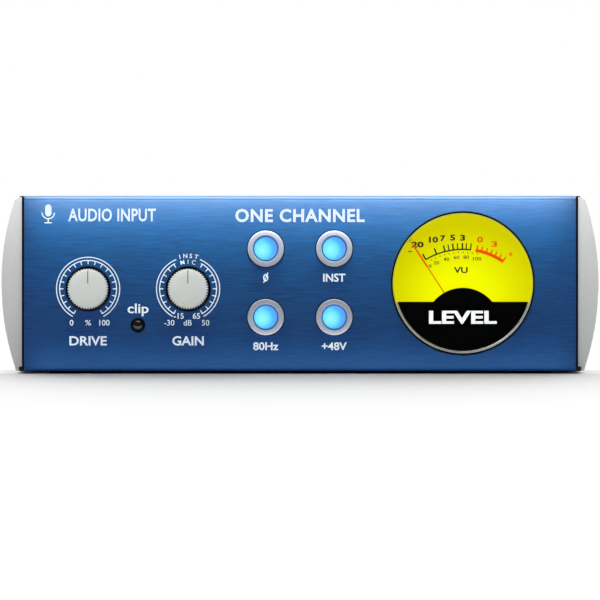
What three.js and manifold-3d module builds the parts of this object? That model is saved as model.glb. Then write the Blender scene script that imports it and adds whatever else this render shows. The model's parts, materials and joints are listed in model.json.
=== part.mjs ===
// A one-channel tube microphone preamp in a third-rack desktop case.
// Millimetres, +Z up. The front panel faces -Y. The origin is on the surface that the feet stand on,
// at the centre of the whole unit, knobs and rear connectors included.
import * as THREE from "three";
import { mergeVertices } from "three/addons/utils/BufferGeometryUtils.js";
import Module from "manifold-3d";

const wasm = await Module();
wasm.setup();

// ---- Driving dimensions -------------------------------------------------------------------------

const caseHeight = 44; // one rack unit
const caseDepth = 140;
const caseWidth = 140.8; // over the steel side walls
const overallWidth = 150; // over the curved end cheeks
const footHeight = 0.6; // thin adhesive pads
const sheet = 1; // steel thickness
const gap = 0.1; // between pieces that lie against each other

const panelWidth = 138.6;
const panelThickness = 1.5;
const panelBend = 1.3; // outer radius of the panel's folded edges
const panelReturn = 12; // depth of the folded top and bottom flanges

const knobReach = 11; // panel face to knob face
const rearReach = 4.5; // rear panel to the end of the jack bushings

const frontY = knobReach - (caseDepth + knobReach + rearReach) / 2; // the panel's front face
const rearY = frontY + caseDepth; // the rear panel's outer face
const baseZ = footHeight;
const topZ = baseZ + caseHeight;
const innerX = caseWidth / 2 - sheet; // inner face of each side wall

// Where the controls stand on the panel: x from the centre, z from the case's underside.
const knobZ = baseZ + 20.7;
const knobs = [
  { name: "drive", x: -53.2 },
  { name: "gain", x: -28.1 },
];
const buttonX = 8.6;
const upperButtonZ = baseZ + 30.8;
const lowerButtonZ = baseZ + 13.6;
const buttons = [
  { name: "phase", x: -buttonX, z: upperButtonZ },
  { name: "instrument", x: buttonX, z: upperButtonZ },
  { name: "low_cut", x: -buttonX, z: lowerButtonZ },
  { name: "phantom", x: buttonX, z: lowerButtonZ },
];
const clip = { x: -40.7, z: baseZ + 11.6 };
const meter = { x: 40.9, z: baseZ + 22.1 };

const knobRadius = 5.12;
const knobHoleRadius = 5.65;
const buttonRadius = 4.56;
const buttonHoleRadius = 4.94;
const clipHoleRadius = 1.95;
const meterHoleRadius = 18.05;
const meterLensRadius = 17.6;

const boardThickness = 1.6;
const controlBoardY = frontY + 13; // front face of the board behind the panel

// Where the connectors stand on the rear panel.
const xlrZ = baseZ + 22;
const jackZ = baseZ + 16.2;
const micXlrX = -46;
const instrumentJackX = -21.5;
const lineXlrX = 2;
const lineJackX = 26.5;
const inletX = 42.5;
const powerSwitchX = 57;
const powerSwitchZ = baseZ + 24;

// ---- Materials ----------------------------------------------------------------------------------

function finish(color, roughness, metalness) {
  return new THREE.MeshStandardMaterial({ color, roughness, metalness });
}

const panelBlue = finish(0x1c4f8c, 0.35, 0.9);
const caseBlack = finish(0x2b2c2e, 0.5, 0.2);
const cheekSilver = finish(0xc2c4c4, 0.45, 0.2);
const knobSilver = finish(0xc9ccca, 0.4, 0.2);
const buttonSilver = finish(0xb9b8c0, 0.4, 0.3);
const buttonGlow = finish(0x58c8ff, 0.3, 0);
const blackPlastic = finish(0x0c0c0e, 0.4, 0);
const rubber = finish(0x141414, 0.8, 0);
const steel = finish(0xa8aaac, 0.3, 1);
const nickel = finish(0xb8b8b4, 0.25, 1);
const clearPlastic = finish(0xf0f4f4, 0.05, 0);
const dialYellow = finish(0xe8e400, 0.6, 0);
const pointerRed = finish(0xd84010, 0.5, 0);
const copper = finish(0xb06030, 0.4, 1);
const whitePlastic = finish(0xd8d8d0, 0.5, 0);
const boardGreen = finish(0x14502c, 0.5, 0);
const ledDark = finish(0x30100c, 0.2, 0);
const glass = finish(0xe8f0f0, 0.05, 0);
const ceramic = finish(0xe4e0d4, 0.5, 0);
const ribbonGrey = finish(0x8c8c90, 0.6, 0);

// ---- Solids -------------------------------------------------------------------------------------

// A closed three.js geometry as a solid that can be cut and joined.
function solid(geometry) {
  const bare = geometry.index ? geometry.toNonIndexed() : geometry.clone();
  bare.deleteAttribute("normal");
  bare.deleteAttribute("uv");
  const merged = mergeVertices(bare, 1e-4);
  const made = new wasm.Manifold(
    new wasm.Mesh({
      numProp: 3,
      vertProperties: merged.getAttribute("position").array,
      triVerts: new Uint32Array(merged.index.array),
    }),
  );
  return made;
}

function geometryOf(body) {
  const raw = body.getMesh();
  const geometry = new THREE.BufferGeometry();
  geometry.setAttribute("position", new THREE.BufferAttribute(raw.vertProperties, 3));
  geometry.setIndex(new THREE.BufferAttribute(raw.triVerts, 1));
  geometry.computeVertexNormals();
  return geometry;
}

function piece(name, body, material) {
  const geometry = body.isBufferGeometry ? body : geometryOf(body);
  const mesh = new THREE.Mesh(geometry, material);
  mesh.name = name;
  return mesh;
}

// A box from its lowest to its highest corner.
function block(x0, x1, y0, y1, z0, z1) {
  const box = new THREE.BoxGeometry(x1 - x0, y1 - y0, z1 - z0);
  return solid(box.translate((x0 + x1) / 2, (y0 + y1) / 2, (z0 + z1) / 2));
}

// A rod along Y, from y0 to y1, centred on x and z.
function rod(radius, y0, y1, segments, x = 0, z = 0) {
  const cylinder = new THREE.CylinderGeometry(radius, radius, y1 - y0, segments);
  return solid(cylinder.translate(x, (y0 + y1) / 2, z));
}

// A body of revolution about Y. Each point of the outline is [radius, y].
function turned(outline, segments) {
  const points = outline.map(([r, y]) => new THREE.Vector2(r, y));
  if (THREE.ShapeUtils.area(points) < 0) points.reverse();
  return solid(new THREE.LatheGeometry(points, segments));
}

// A ring along Y with square edges.
function ring(outer, inner, y0, y1, segments) {
  const outline = [
    [inner, y0],
    [outer, y0],
    [outer, y1],
    [inner, y1],
    [inner, y0],
  ];
  return turned(outline, segments);
}

// A section drawn in (y, z), drawn out along X from x0 to x1.
function drawnAlongX(shape, x0, x1, curveSegments = 8) {
  const settings = { depth: x1 - x0, bevelEnabled: false, curveSegments };
  const geometry = new THREE.ExtrudeGeometry(shape, settings);
  const yAxis = new THREE.Vector3(0, 1, 0);
  const zAxis = new THREE.Vector3(0, 0, 1);
  const xAxis = new THREE.Vector3(1, 0, 0);
  geometry.applyMatrix4(new THREE.Matrix4().makeBasis(yAxis, zAxis, xAxis));
  return solid(geometry.translate(x0, 0, 0));
}

// A section drawn in (x, z), drawn out along Y from y0 to y1.
function drawnAlongY(shape, y0, y1, curveSegments = 8) {
  const settings = { depth: y1 - y0, bevelEnabled: false, curveSegments };
  const geometry = new THREE.ExtrudeGeometry(shape, settings);
  geometry.rotateX(Math.PI / 2);
  return solid(geometry.translate(0, y1, 0));
}

function outlineOf(points) {
  return new THREE.Shape(points.map(([u, v]) => new THREE.Vector2(u, v)));
}

function joined(bodies) {
  return bodies.reduce((whole, part) => whole.add(part));
}

function cutBy(body, cutters) {
  return cutters.reduce((left, cutter) => left.subtract(cutter), body);
}

// ---- Enclosure ----------------------------------------------------------------------------------

// The section of the folded front panel: a face with a rounded bend and a flange at top and bottom.
function panelSection() {
  const back = frontY + panelReturn;
  const inner = frontY + panelThickness;
  const s = new THREE.Shape();
  s.moveTo(back, baseZ);
  s.lineTo(back, baseZ + panelThickness);
  s.lineTo(inner, baseZ + panelThickness);
  s.lineTo(inner, topZ - panelThickness);
  s.lineTo(back, topZ - panelThickness);
  s.lineTo(back, topZ);
  s.lineTo(frontY + panelBend, topZ);
  s.absarc(frontY + panelBend, topZ - panelBend, panelBend, Math.PI / 2, Math.PI, false);
  s.lineTo(frontY, baseZ + panelBend);
  s.absarc(frontY + panelBend, baseZ + panelBend, panelBend, Math.PI, Math.PI * 1.5, false);
  s.closePath();
  return s;
}

function frontPanel() {
  const y0 = frontY - 1;
  const y1 = frontY + panelThickness + 1;
  const holes = [
    ...knobs.map((k) => rod(knobHoleRadius, y0, y1, 32, k.x, knobZ)),
    ...buttons.map((b) => rod(buttonHoleRadius, y0, y1, 32, b.x, b.z)),
    rod(clipHoleRadius, y0, y1, 20, clip.x, clip.z),
    rod(meterHoleRadius, y0, y1, 48, meter.x, meter.z),
  ];
  const folded = drawnAlongX(panelSection(), -panelWidth / 2, panelWidth / 2, 5);
  return piece("front_panel", cutBy(folded, holes), panelBlue);
}

const rearScrewX = 65.4;
const rearScrewInset = 6; // from the case's top and underside
const rearScrewHole = 1.7;
const rearScrewPlaces = [
  { name: "rear_screw_upper_left", x: -rearScrewX, z: topZ - rearScrewInset },
  { name: "rear_screw_upper_right", x: rearScrewX, z: topZ - rearScrewInset },
  { name: "rear_screw_lower_left", x: -rearScrewX, z: baseZ + rearScrewInset },
  { name: "rear_screw_lower_right", x: rearScrewX, z: baseZ + rearScrewInset },
];
const rearPanelThickness = 1.2;
const tabThickness = 1.2;
const cheekFrontY = frontY + 0.9;
const lipReach = 0.65; // how far a cheek's front lip stands over the side wall's edge
const lipDepth = 1.1;
const wallFrontY = cheekFrontY + lipDepth + 0.2; // the side walls' front edges, behind the lips
const tongueReach = 8.3; // how far each tongue goes under the panel's flange
const weld = 0.4; // how far two parts of one piece run into each other

const boardBottomZ = baseZ + 6;
const boardTopZ = boardBottomZ + boardThickness;
const mainBoard = { x: 64, y0: frontY + 22.6, y1: rearY - 22 };
const standoffPlaces = [
  [-58, mainBoard.y0 + 6],
  [58, mainBoard.y0 + 6],
  [-58, mainBoard.y1 - 6],
  [58, mainBoard.y1 - 6],
];

// A steel tray: floor with a tongue over the panel's lower flange, two side walls, four pressed
// standoffs and four rear tabs that take the rear panel's screws.
function bottomChassis() {
  const floorY0 = frontY + panelReturn + 0.3;
  const tongueY0 = floorY0 - tongueReach;
  const tongueZ = baseZ + panelThickness + gap;
  const tabY1 = rearY - rearPanelThickness - gap;
  const section = outlineOf([
    [floorY0, baseZ],
    [rearY, baseZ],
    [rearY, baseZ + sheet],
    [floorY0 + 3, baseZ + sheet],
    [floorY0 + 1.5, tongueZ + sheet],
    [tongueY0, tongueZ + sheet],
    [tongueY0, tongueZ],
    [floorY0, tongueZ],
  ]);
  const walls = [-1, 1].map((side) => {
    const x = [side * innerX, side * (caseWidth / 2)].sort((a, b) => a - b);
    return block(x[0], x[1], wallFrontY, rearY, baseZ, topZ);
  });
  const tabs = rearScrewPlaces.map(({ x, z }) => {
    const side = Math.sign(x);
    const tabX = [side * (rearScrewX - 4), side * (innerX + weld)].sort((a, b) => a - b);
    return block(tabX[0], tabX[1], tabY1 - tabThickness, tabY1, z - 4, z + 4);
  });
  const standoffs = standoffPlaces.map(([x, y]) => {
    const z0 = baseZ + sheet / 2;
    const z1 = boardBottomZ - gap;
    const post = new THREE.CylinderGeometry(3, 3.6, z1 - z0, 16);
    post.rotateX(Math.PI / 2);
    return solid(post.translate(x, y, (z0 + z1) / 2));
  });
  const floor = drawnAlongX(section, -innerX - weld, innerX + weld);
  const screwHoles = rearScrewPlaces.map(({ x, z }) => rod(1.6, rearY - 8, rearY, 12, x, z));
  const tray = joined([floor, ...walls, ...tabs, ...standoffs]);
  return piece("bottom_chassis", cutBy(tray, screwHoles), caseBlack);
}

const ventCount = 9;
const ventPitch = 5;
const ventWidth = 2;
const ventLength = 34;
const ventCentre = { x: -28, y: 8 };

// A plate that tucks under the panel's upper flange, with two side flanges and a row of vent slots.
function topCover() {
  const x = innerX - gap;
  const coverY0 = frontY + panelReturn + 0.3;
  const tongueY0 = coverY0 - tongueReach;
  const tongueZ = topZ - panelThickness - gap;
  const section = outlineOf([
    [coverY0, topZ],
    [coverY0, tongueZ],
    [tongueY0, tongueZ],
    [tongueY0, tongueZ - sheet],
    [coverY0 + 1.5, tongueZ - sheet],
    [coverY0 + 3, topZ - sheet],
    [rearY, topZ - sheet],
    [rearY, topZ],
  ]);
  const flangeY0 = coverY0 + 4;
  const flangeY1 = rearY - 12;
  const flangeZ0 = topZ - 9;
  const flangeZ1 = topZ - sheet / 2;
  const flanges = [
    block(-x, -x + sheet, flangeY0, flangeY1, flangeZ0, flangeZ1),
    block(x - sheet, x, flangeY0, flangeY1, flangeZ0, flangeZ1),
  ];
  const slots = Array.from({ length: ventCount }, (_, i) => {
    const centre = ventCentre.x + (i - (ventCount - 1) / 2) * ventPitch;
    const y = [ventCentre.y - ventLength / 2, ventCentre.y + ventLength / 2];
    return block(centre - ventWidth / 2, centre + ventWidth / 2, y[0], y[1], topZ - 3, topZ + 1);
  });
  const plate = drawnAlongX(section, -x, x);
  return piece("top_cover", cutBy(joined([plate, ...flanges]), slots), caseBlack);
}

const xlrHoleRadius = 12.2;
const jackBushRadius = 5.8;
const inletBushRadius = 4.6;
const switchBody = { halfWidth: 6.4, halfHeight: 9.4 };
const latchSlot = { halfWidth: 4.8, z0: 10.6, z1: 14.4 };

function rearPanel() {
  const x = innerX - gap;
  const y0 = rearY - rearPanelThickness;
  const z0 = baseZ + sheet + gap;
  const z1 = topZ - sheet - gap;
  const through = [y0 - 1, rearY + 1];
  const latchNotch = block(
    micXlrX - latchSlot.halfWidth - 0.4,
    micXlrX + latchSlot.halfWidth + 0.4,
    ...through,
    xlrZ + 8,
    xlrZ + latchSlot.z1 + 0.4,
  );
  const switchHole = block(
    powerSwitchX - switchBody.halfWidth - 0.2,
    powerSwitchX + switchBody.halfWidth + 0.2,
    ...through,
    powerSwitchZ - switchBody.halfHeight - 0.2,
    powerSwitchZ + switchBody.halfHeight + 0.2,
  );
  const holes = [
    rod(xlrHoleRadius, ...through, 32, micXlrX, xlrZ),
    rod(xlrHoleRadius, ...through, 32, lineXlrX, xlrZ),
    rod(jackBushRadius + 0.2, ...through, 24, instrumentJackX, jackZ),
    rod(jackBushRadius + 0.2, ...through, 24, lineJackX, jackZ),
    rod(inletBushRadius + 0.2, ...through, 24, inletX, jackZ),
    latchNotch,
    switchHole,
    ...rearScrewPlaces.map((s) => rod(rearScrewHole, ...through, 12, s.x, s.z)),
  ];
  const plate = block(-x, x, y0, rearY, z0, z1);
  return piece("rear_panel", cutBy(plate, holes), caseBlack);
}

function rearScrew({ name, x, z }) {
  const headHeight = 1.7;
  const outline = [
    [0, -6],
    [1.45, -6],
    [1.45, 0.05],
    [2.7, 0.05],
    [2.7, headHeight * 0.6],
    [1.9, headHeight],
    [0, headHeight],
  ];
  const screw = piece(name, turned(outline, 12), steel);
  screw.position.set(x, rearY, z);
  return screw;
}

// An end cheek: a shallow arc outside, flat inside, moulded as a shell that opens to the side wall,
// with a lip in front of the wall's edge and two posts for the screws that hold it.
function endCheek(name, side) {
  const inner = caseWidth / 2 + gap;
  const width = overallWidth / 2 - inner;
  const edgeWidth = 0.8; // at the top and bottom, where the arc meets the flat
  const half = caseHeight / 2;
  const rise = width - edgeWidth;
  const radius = (half * half + rise * rise) / (2 * rise);
  const middleZ = baseZ + half;
  const wall = 1.6;
  const cheekY0 = cheekFrontY;
  const cheekY1 = rearY - 0.6;

  const arcShape = (inset, ends) => {
    const r = radius - inset;
    const centre = width - radius;
    const top = half - ends;
    const angle = Math.asin(top / r);
    const s = new THREE.Shape();
    s.moveTo(inset > 0 ? -1 : 0, -top);
    s.lineTo(centre + r * Math.cos(angle), -top);
    s.absarc(centre, 0, r, -angle, angle, false);
    s.lineTo(inset > 0 ? -1 : 0, top);
    s.closePath();
    return s;
  };
  const outside = drawnAlongY(arcShape(0, 0), cheekY0, cheekY1, 20);
  const inside = drawnAlongY(arcShape(wall, 8), cheekY0 + 2.5, cheekY1 - 2.5, 10);
  const posts = [-1, 1].map((end) => {
    const length = width - wall + weld;
    const post = new THREE.CylinderGeometry(2.6, 2.6, length, 16);
    post.rotateZ(Math.PI / 2);
    return solid(post.translate(length / 2, (cheekY0 + cheekY1) / 2 + end * 45, 0));
  });
  const lipY0 = side < 0 ? cheekY1 - lipDepth : cheekY0;
  const lip = block(-lipReach, weld, lipY0, lipY0 + lipDepth, -half + 1.3, half - 1.1);
  const shell = joined([outside.subtract(inside), ...posts, lip]);
  const cheek = piece(name, shell, cheekSilver);
  cheek.position.set(side * inner, 0, middleZ);
  if (side < 0) {
    cheek.rotation.z = Math.PI;
    cheek.position.y = cheekY0 + cheekY1;
  }
  return cheek;
}

function foot(name, x, y) {
  const top = footHeight - 0.05;
  const outline = [
    [0, 0],
    [5.2, 0],
    [5.4, 0.2],
    [5.4, top],
    [0, top],
  ];
  const pad = piece(name, turned(outline, 20), rubber);
  pad.rotation.x = Math.PI / 2;
  pad.position.set(x, y, 0);
  return pad;
}

function enclosure() {
  const group = new THREE.Group();
  const footX = 58;
  const footFrontY = frontY + 22;
  const footRearY = rearY - 14;
  group.add(
    frontPanel(),
    bottomChassis(),
    topCover(),
    rearPanel(),
    endCheek("left_cheek", -1),
    endCheek("right_cheek", 1),
    foot("foot_front_left", -footX, footFrontY),
    foot("foot_front_right", footX, footFrontY),
    foot("foot_rear_left", -footX, footRearY),
    foot("foot_rear_right", footX, footRearY),
    ...rearScrewPlaces.map(rearScrew),
  );
  return group;
}

// ---- Rotary controls ----------------------------------------------------------------------------

const shaftRadius = 3;

// A knob that dips into its panel hole. Its own frame has y = 0 at the panel's front face.
function knob(name) {
  const back = 1.2;
  const bore = shaftRadius + gap;
  const skin = 1.4;
  const outline = [
    [bore, back],
    [knobRadius, back],
    [knobRadius, -knobReach + 0.5],
    [knobRadius - 0.5, -knobReach],
    [0, -knobReach],
    [0, -knobReach + skin],
    [bore, -knobReach + skin],
    [bore, back],
  ];
  return piece(name, turned(outline, 40), knobSilver);
}

function rotaryControl({ name, x }) {
  const group = new THREE.Group();
  const boardY = controlBoardY - frontY;
  const shaft = rod(shaftRadius, -knobReach + 1.6, boardY - 2, 24);
  const bushing = ring(3.6, shaftRadius + 0.15, boardY - 9.8, boardY - 6.4, 24);
  const housing = block(-4.9, 4.9, boardY - 6.5, boardY - gap, -5.6, 5);
  const pocket = rod(shaftRadius + 0.15, boardY - 12, boardY - 1.6, 24);
  group.add(
    knob(name + "_knob"),
    piece(name + "_pot_shaft", shaft, nickel),
    piece(name + "_pot_body", cutBy(joined([housing, bushing]), [pocket]), steel),
  );
  group.position.set(x, frontY, knobZ);
  return group;
}

// ---- Push buttons -------------------------------------------------------------------------------

const buttonReach = 1.6; // panel face to the button's rim
const buttonTravel = 1.8;

// A ring-shaped cap with a stem, a domed lens in its bore, and the switch on the board behind.
function pushButton({ name, x, z }) {
  const group = new THREE.Group();
  const boardY = controlBoardY - frontY;
  const boreRadius = 3.2;
  const capBack = 4.6;
  const capOutline = [
    [0, capBack],
    [buttonRadius, capBack],
    [buttonRadius, -buttonReach + 0.4],
    [buttonRadius - 0.4, -buttonReach],
    [boreRadius + 0.2, -buttonReach],
    [boreRadius, -buttonReach + 0.2],
    [boreRadius, capBack - 1.8],
    [0, capBack - 1.8],
  ];
  const lensRadius = boreRadius - gap;
  const lensOutline = [
    [0, capBack - 1.9],
    [lensRadius, capBack - 1.9],
    [lensRadius, -buttonReach + 0.3],
    [lensRadius * 0.8, -buttonReach - 0.1],
    [lensRadius * 0.45, -buttonReach - 0.4],
    [0, -buttonReach - 0.5],
  ];
  const stem = block(-1.6, 1.6, capBack - 0.2, boardY - 3.6, -1.6, 1.6);
  const cap = joined([turned(capOutline, 32), stem]);
  const housing = block(-4, 4, boardY - 6.2, boardY - gap, -4, 4);
  const pocket = block(-1.9, 1.9, boardY - 7, boardY - 0.8, -1.9, 1.9);
  group.add(
    piece(name + "_button_cap", cap, buttonSilver),
    piece(name + "_button_lens", turned(lensOutline, 24), buttonGlow),
    piece(name + "_switch_body", cutBy(housing, [pocket]), blackPlastic),
  );
  group.position.set(x, frontY, z);
  return group;
}

// ---- Clip indicator and control board -----------------------------------------------------------

function clipIndicator() {
  const group = new THREE.Group();
  const boardY = controlBoardY - frontY;
  const holder = [
    [1.55, boardY - 1.2],
    [1.55, -0.3],
    [1.78, -0.3],
    [1.78, boardY - 1.2],
    [1.55, boardY - 1.2],
  ];
  const led = [
    [0, boardY - 1.4],
    [1.45, boardY - 1.4],
    [1.45, -0.2],
    [1.1, -1],
    [0.6, -1.4],
    [0, -1.5],
  ];
  group.add(
    piece("clip_led_holder", turned(holder, 20), blackPlastic),
    piece("clip_led", turned(led, 20), ledDark),
  );
  group.position.set(clip.x, frontY, clip.z);
  return group;
}

function controlBoard() {
  const y1 = controlBoardY + boardThickness;
  const board = block(-66, 20.2, controlBoardY, y1, baseZ + 4.6, topZ - 4.6);
  return piece("control_board", board, boardGreen);
}

// ---- Level meter --------------------------------------------------------------------------------

const pivotDrop = 9.6; // the pivot, below the window's centre
const pointerLength = 23.2;
const pointerRestAngle = THREE.MathUtils.degToRad(-33);
const dialRadius = 16.6;
const meterDepth = 22;
const meterFlangeRadius = 19.2;
const maskLine = -4.65; // height of the mask's straight edge from the window's centre
const maskHump = { z: -10.7, radius: 9.55 };

// A clear cup that stands proud of the panel, held from behind by a flange.
function meterLens() {
  const outline = [
    [0, -1.2],
    [meterLensRadius - 1, -1.2],
    [meterLensRadius, -0.2],
    [meterLensRadius, 1.8],
    [meterFlangeRadius, 1.8],
    [meterFlangeRadius, 3.3],
    [meterLensRadius, 3.3],
    [meterLensRadius, 5.4],
    [meterLensRadius - 0.8, 5.4],
    [meterLensRadius - 0.8, 0.1],
    [0, 0.1],
  ];
  return piece("meter_lens", turned(outline, 48), clearPlastic);
}

function meterCase() {
  const bore = meterLensRadius + 0.2;
  const ledgeBore = 15.8;
  const outline = [
    [bore, 3.5],
    [meterFlangeRadius, 3.5],
    [meterFlangeRadius, meterDepth],
    [0, meterDepth],
    [0, meterDepth - 1.5],
    [ledgeBore, meterDepth - 1.5],
    [ledgeBore, 6.3],
    [bore, 6.3],
    [bore, 3.5],
  ];
  return piece("meter_case", turned(outline, 36), whitePlastic);
}

function meterDial() {
  const disc = rod(dialRadius, 5.6, 6.1, 48);
  const notch = block(-5, 5, 5, 7, -20, -4.4);
  return piece("meter_dial", disc.subtract(notch), dialYellow);
}

// The black lower cover: everything below a straight line, with a round hump over the pivot.
function meterMask() {
  const y0 = 2.2;
  const y1 = 3.2;
  const radius = meterLensRadius - 0.9;
  const disc = rod(radius, y0, y1, 48);
  const lower = disc.intersect(block(-20, 20, 0, 6, -20, maskLine));
  const hump = rod(maskHump.radius, y0, y1, 40, 0, maskHump.z);
  return piece("meter_mask", joined([lower, hump.intersect(disc)]), blackPlastic);
}

// Pointer, coil and staff turn together about the pivot. Drawn upright, then turned to the left stop.
function meterMovement() {
  const movement = new THREE.Group();
  const taper = outlineOf([
    [-0.34, 0],
    [0.34, 0],
    [0.16, pointerLength],
    [-0.16, pointerLength],
  ]);
  const tail = outlineOf([
    [-0.34, 0.5],
    [-0.9, -4.2],
    [0.9, -4.2],
    [0.34, 0.5],
  ]);
  const hub = rod(1.3, 3.9, 4.7, 16);
  const pointer = joined([drawnAlongY(taper, 4.1, 4.5), drawnAlongY(tail, 4.1, 4.5), hub]);
  const loop = block(-4.4, 4.4, 8, 18, -1.4, 1.4);
  const window = block(-3.5, 3.5, 8.7, 17.3, -2, 2);
  const frontStaff = rod(0.5, 4.9, 8.4, 12);
  const rearStaff = rod(0.5, 17.6, meterDepth - 1.8, 12);
  const coil = joined([loop.subtract(window), frontStaff, rearStaff]);
  movement.add(
    piece("meter_pointer", pointer, pointerRed),
    piece("meter_coil", coil, copper),
  );
  movement.position.z = -pivotDrop;
  movement.rotation.y = pointerRestAngle;
  return movement;
}

// Core magnet inside the coil, joined by two lugs to the iron ring around it.
function meterMagnet() {
  const y0 = 9.2;
  const y1 = 16.8;
  const core = rod(3, y0, y1, 24);
  const yoke = ring(6, 5, y0, y1, 32);
  const lugs = block(-0.9, 0.9, y0 + 0.5, y1 - 0.5, -5.4, 5.4);
  const magnet = piece("meter_magnet", joined([core, yoke, lugs]), steel);
  magnet.position.z = -pivotDrop;
  return magnet;
}

function levelMeter() {
  const group = new THREE.Group();
  group.add(
    meterLens(),
    meterCase(),
    meterDial(),
    meterMask(),
    meterMovement(),
    meterMagnet(),
  );
  group.position.set(meter.x, frontY, meter.z);
  return group;
}

// ---- Electronics --------------------------------------------------------------------------------

const tube = { x: -2, y: 8, z: baseZ + 22.5, radius: 10, length: 50 };

function mainBoardPiece() {
  const { x, y0, y1 } = mainBoard;
  const board = block(-x, x, y0, y1, boardBottomZ, boardTopZ);
  return piece("main_board", board, boardGreen);
}

// A nine-pin tube lying across the case: open glass envelope, electrodes inside, ceramic socket.
function vacuumTube() {
  const group = new THREE.Group();
  const { radius, length } = tube;
  const wall = 1;
  const dome = [1, 0.75, 0.5, 0.25].map((t) => {
    const angle = t * (Math.PI / 2);
    return [radius * Math.sin(angle), length - 6 + 6 * Math.cos(angle)];
  });
  const cavityTop = length - 6.5;
  const envelope = [
    [0, cavityTop],
    [radius - wall, cavityTop],
    [radius - wall, 0],
    [radius, 0],
    ...dome,
    [0.9, length],
    [0, length + 3],
  ];
  const base = rod(radius - wall - 0.2, 1, 5, 20);
  const stem = rod(2, 4.5, 10, 10);
  const micas = [rod(8.2, 9.5, 10.1, 20), rod(8.2, 36, 36.6, 20)];
  const plates = [-1, 1].map((side) => block(side * 4 - 2.6, side * 4 + 2.6, 9.9, 36.2, -4, 4));
  const electrodes = joined([base, stem, ...micas, ...plates]);
  const pinCircle = 5.95;
  const pins = Array.from({ length: 9 }, (_, i) => {
    const angle = ((i + 1) / 10) * Math.PI * 2;
    return rod(0.5, -4, 1.5, 6, pinCircle * Math.sin(angle), pinCircle * Math.cos(angle));
  });
  const sockets = Array.from({ length: 9 }, (_, i) => {
    const angle = ((i + 1) / 10) * Math.PI * 2;
    return rod(0.8, -5, 1, 6, pinCircle * Math.sin(angle), pinCircle * Math.cos(angle));
  });
  const disc = rod(11, -8, -0.3, 24);
  const legs = block(-11, 11, -8, -4, boardTopZ + gap - tube.z, -7);
  const socket = cutBy(joined([disc, legs]), sockets);
  group.add(
    piece("tube_envelope", turned(envelope, 24), glass),
    piece("tube_electrodes", joined([electrodes, ...pins]), steel),
    piece("tube_socket", socket, ceramic),
  );
  // The tube's own axis is Y; it lies along X with its tip towards the right.
  group.rotation.z = -Math.PI / 2;
  group.position.set(tube.x - length, tube.y, tube.z);
  return group;
}

function filterCapacitor(name, x, y) {
  const radius = 8;
  const height = 24;
  const outline = [
    [0, 0],
    [radius, 0],
    [radius, 1.6],
    [radius - 0.5, 2.2],
    [radius, 2.8],
    [radius, height - 0.6],
    [radius - 0.6, height],
    [0, height],
  ];
  const can = piece(name, turned(outline, 20), blackPlastic);
  can.rotation.x = Math.PI / 2;
  can.position.set(x, y, boardTopZ + gap);
  return can;
}

function heatSink() {
  const height = 22;
  const finCount = 5;
  const fins = Array.from({ length: finCount }, (_, i) => {
    const x = -9.4 + (i * 18) / (finCount - 1);
    return block(x, x + 0.8, -1, 8, 0, height);
  });
  const sink = piece("heat_sink", joined([block(-10, 10, -2.4, -0.8, 0, height), ...fins]), steel);
  sink.position.set(46, 14, boardTopZ + gap);
  return sink;
}

// A flat cable from the back of the control board, over a loop, down to the main board.
function ribbonCable() {
  const thickness = 0.9;
  const y0 = controlBoardY + boardThickness + gap;
  const loopZ = boardTopZ + 9;
  const radius = 3.2;
  const bendY = y0 + 6;
  const s = new THREE.Shape();
  s.moveTo(y0, loopZ + radius - thickness);
  s.lineTo(bendY, loopZ + radius - thickness);
  s.absarc(bendY, loopZ, radius - thickness, Math.PI / 2, 0, true);
  s.lineTo(bendY + radius - thickness, boardTopZ + gap);
  s.lineTo(bendY + radius, boardTopZ + gap);
  s.lineTo(bendY + radius, loopZ);
  s.absarc(bendY, loopZ, radius, 0, Math.PI / 2, false);
  s.lineTo(y0, loopZ + radius);
  s.closePath();
  return piece("ribbon_cable", drawnAlongX(s, -18, 6, 5), ribbonGrey);
}

function electronics() {
  const group = new THREE.Group();
  group.add(
    mainBoardPiece(),
    vacuumTube(),
    filterCapacitor("filter_capacitor_left", 14, 20),
    filterCapacitor("filter_capacitor_right", 14, 0),
    heatSink(),
    ribbonCable(),
  );
  return group;
}

// ---- Rear connectors ----------------------------------------------------------------------------

const flange = { halfWidth: 13, halfHeight: 15.4, thickness: 2, screwX: 9.6, screwZ: 12 };
const mouthY = gap + flange.thickness; // the flange's face, behind the rear panel
const contactPlaces = [
  [-3.9, 2.2],
  [3.9, 2.2],
  [0, -4.2],
];

function xlrFlange() {
  const { halfWidth, halfHeight, screwX, screwZ } = flange;
  const plate = block(-halfWidth, halfWidth, gap, mouthY, -halfHeight, halfHeight);
  const screwHoles = [-1, 1].map((side) => rod(1.6, -1, 4, 12, -side * screwX, side * screwZ));
  return cutBy(plate, screwHoles);
}

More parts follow.
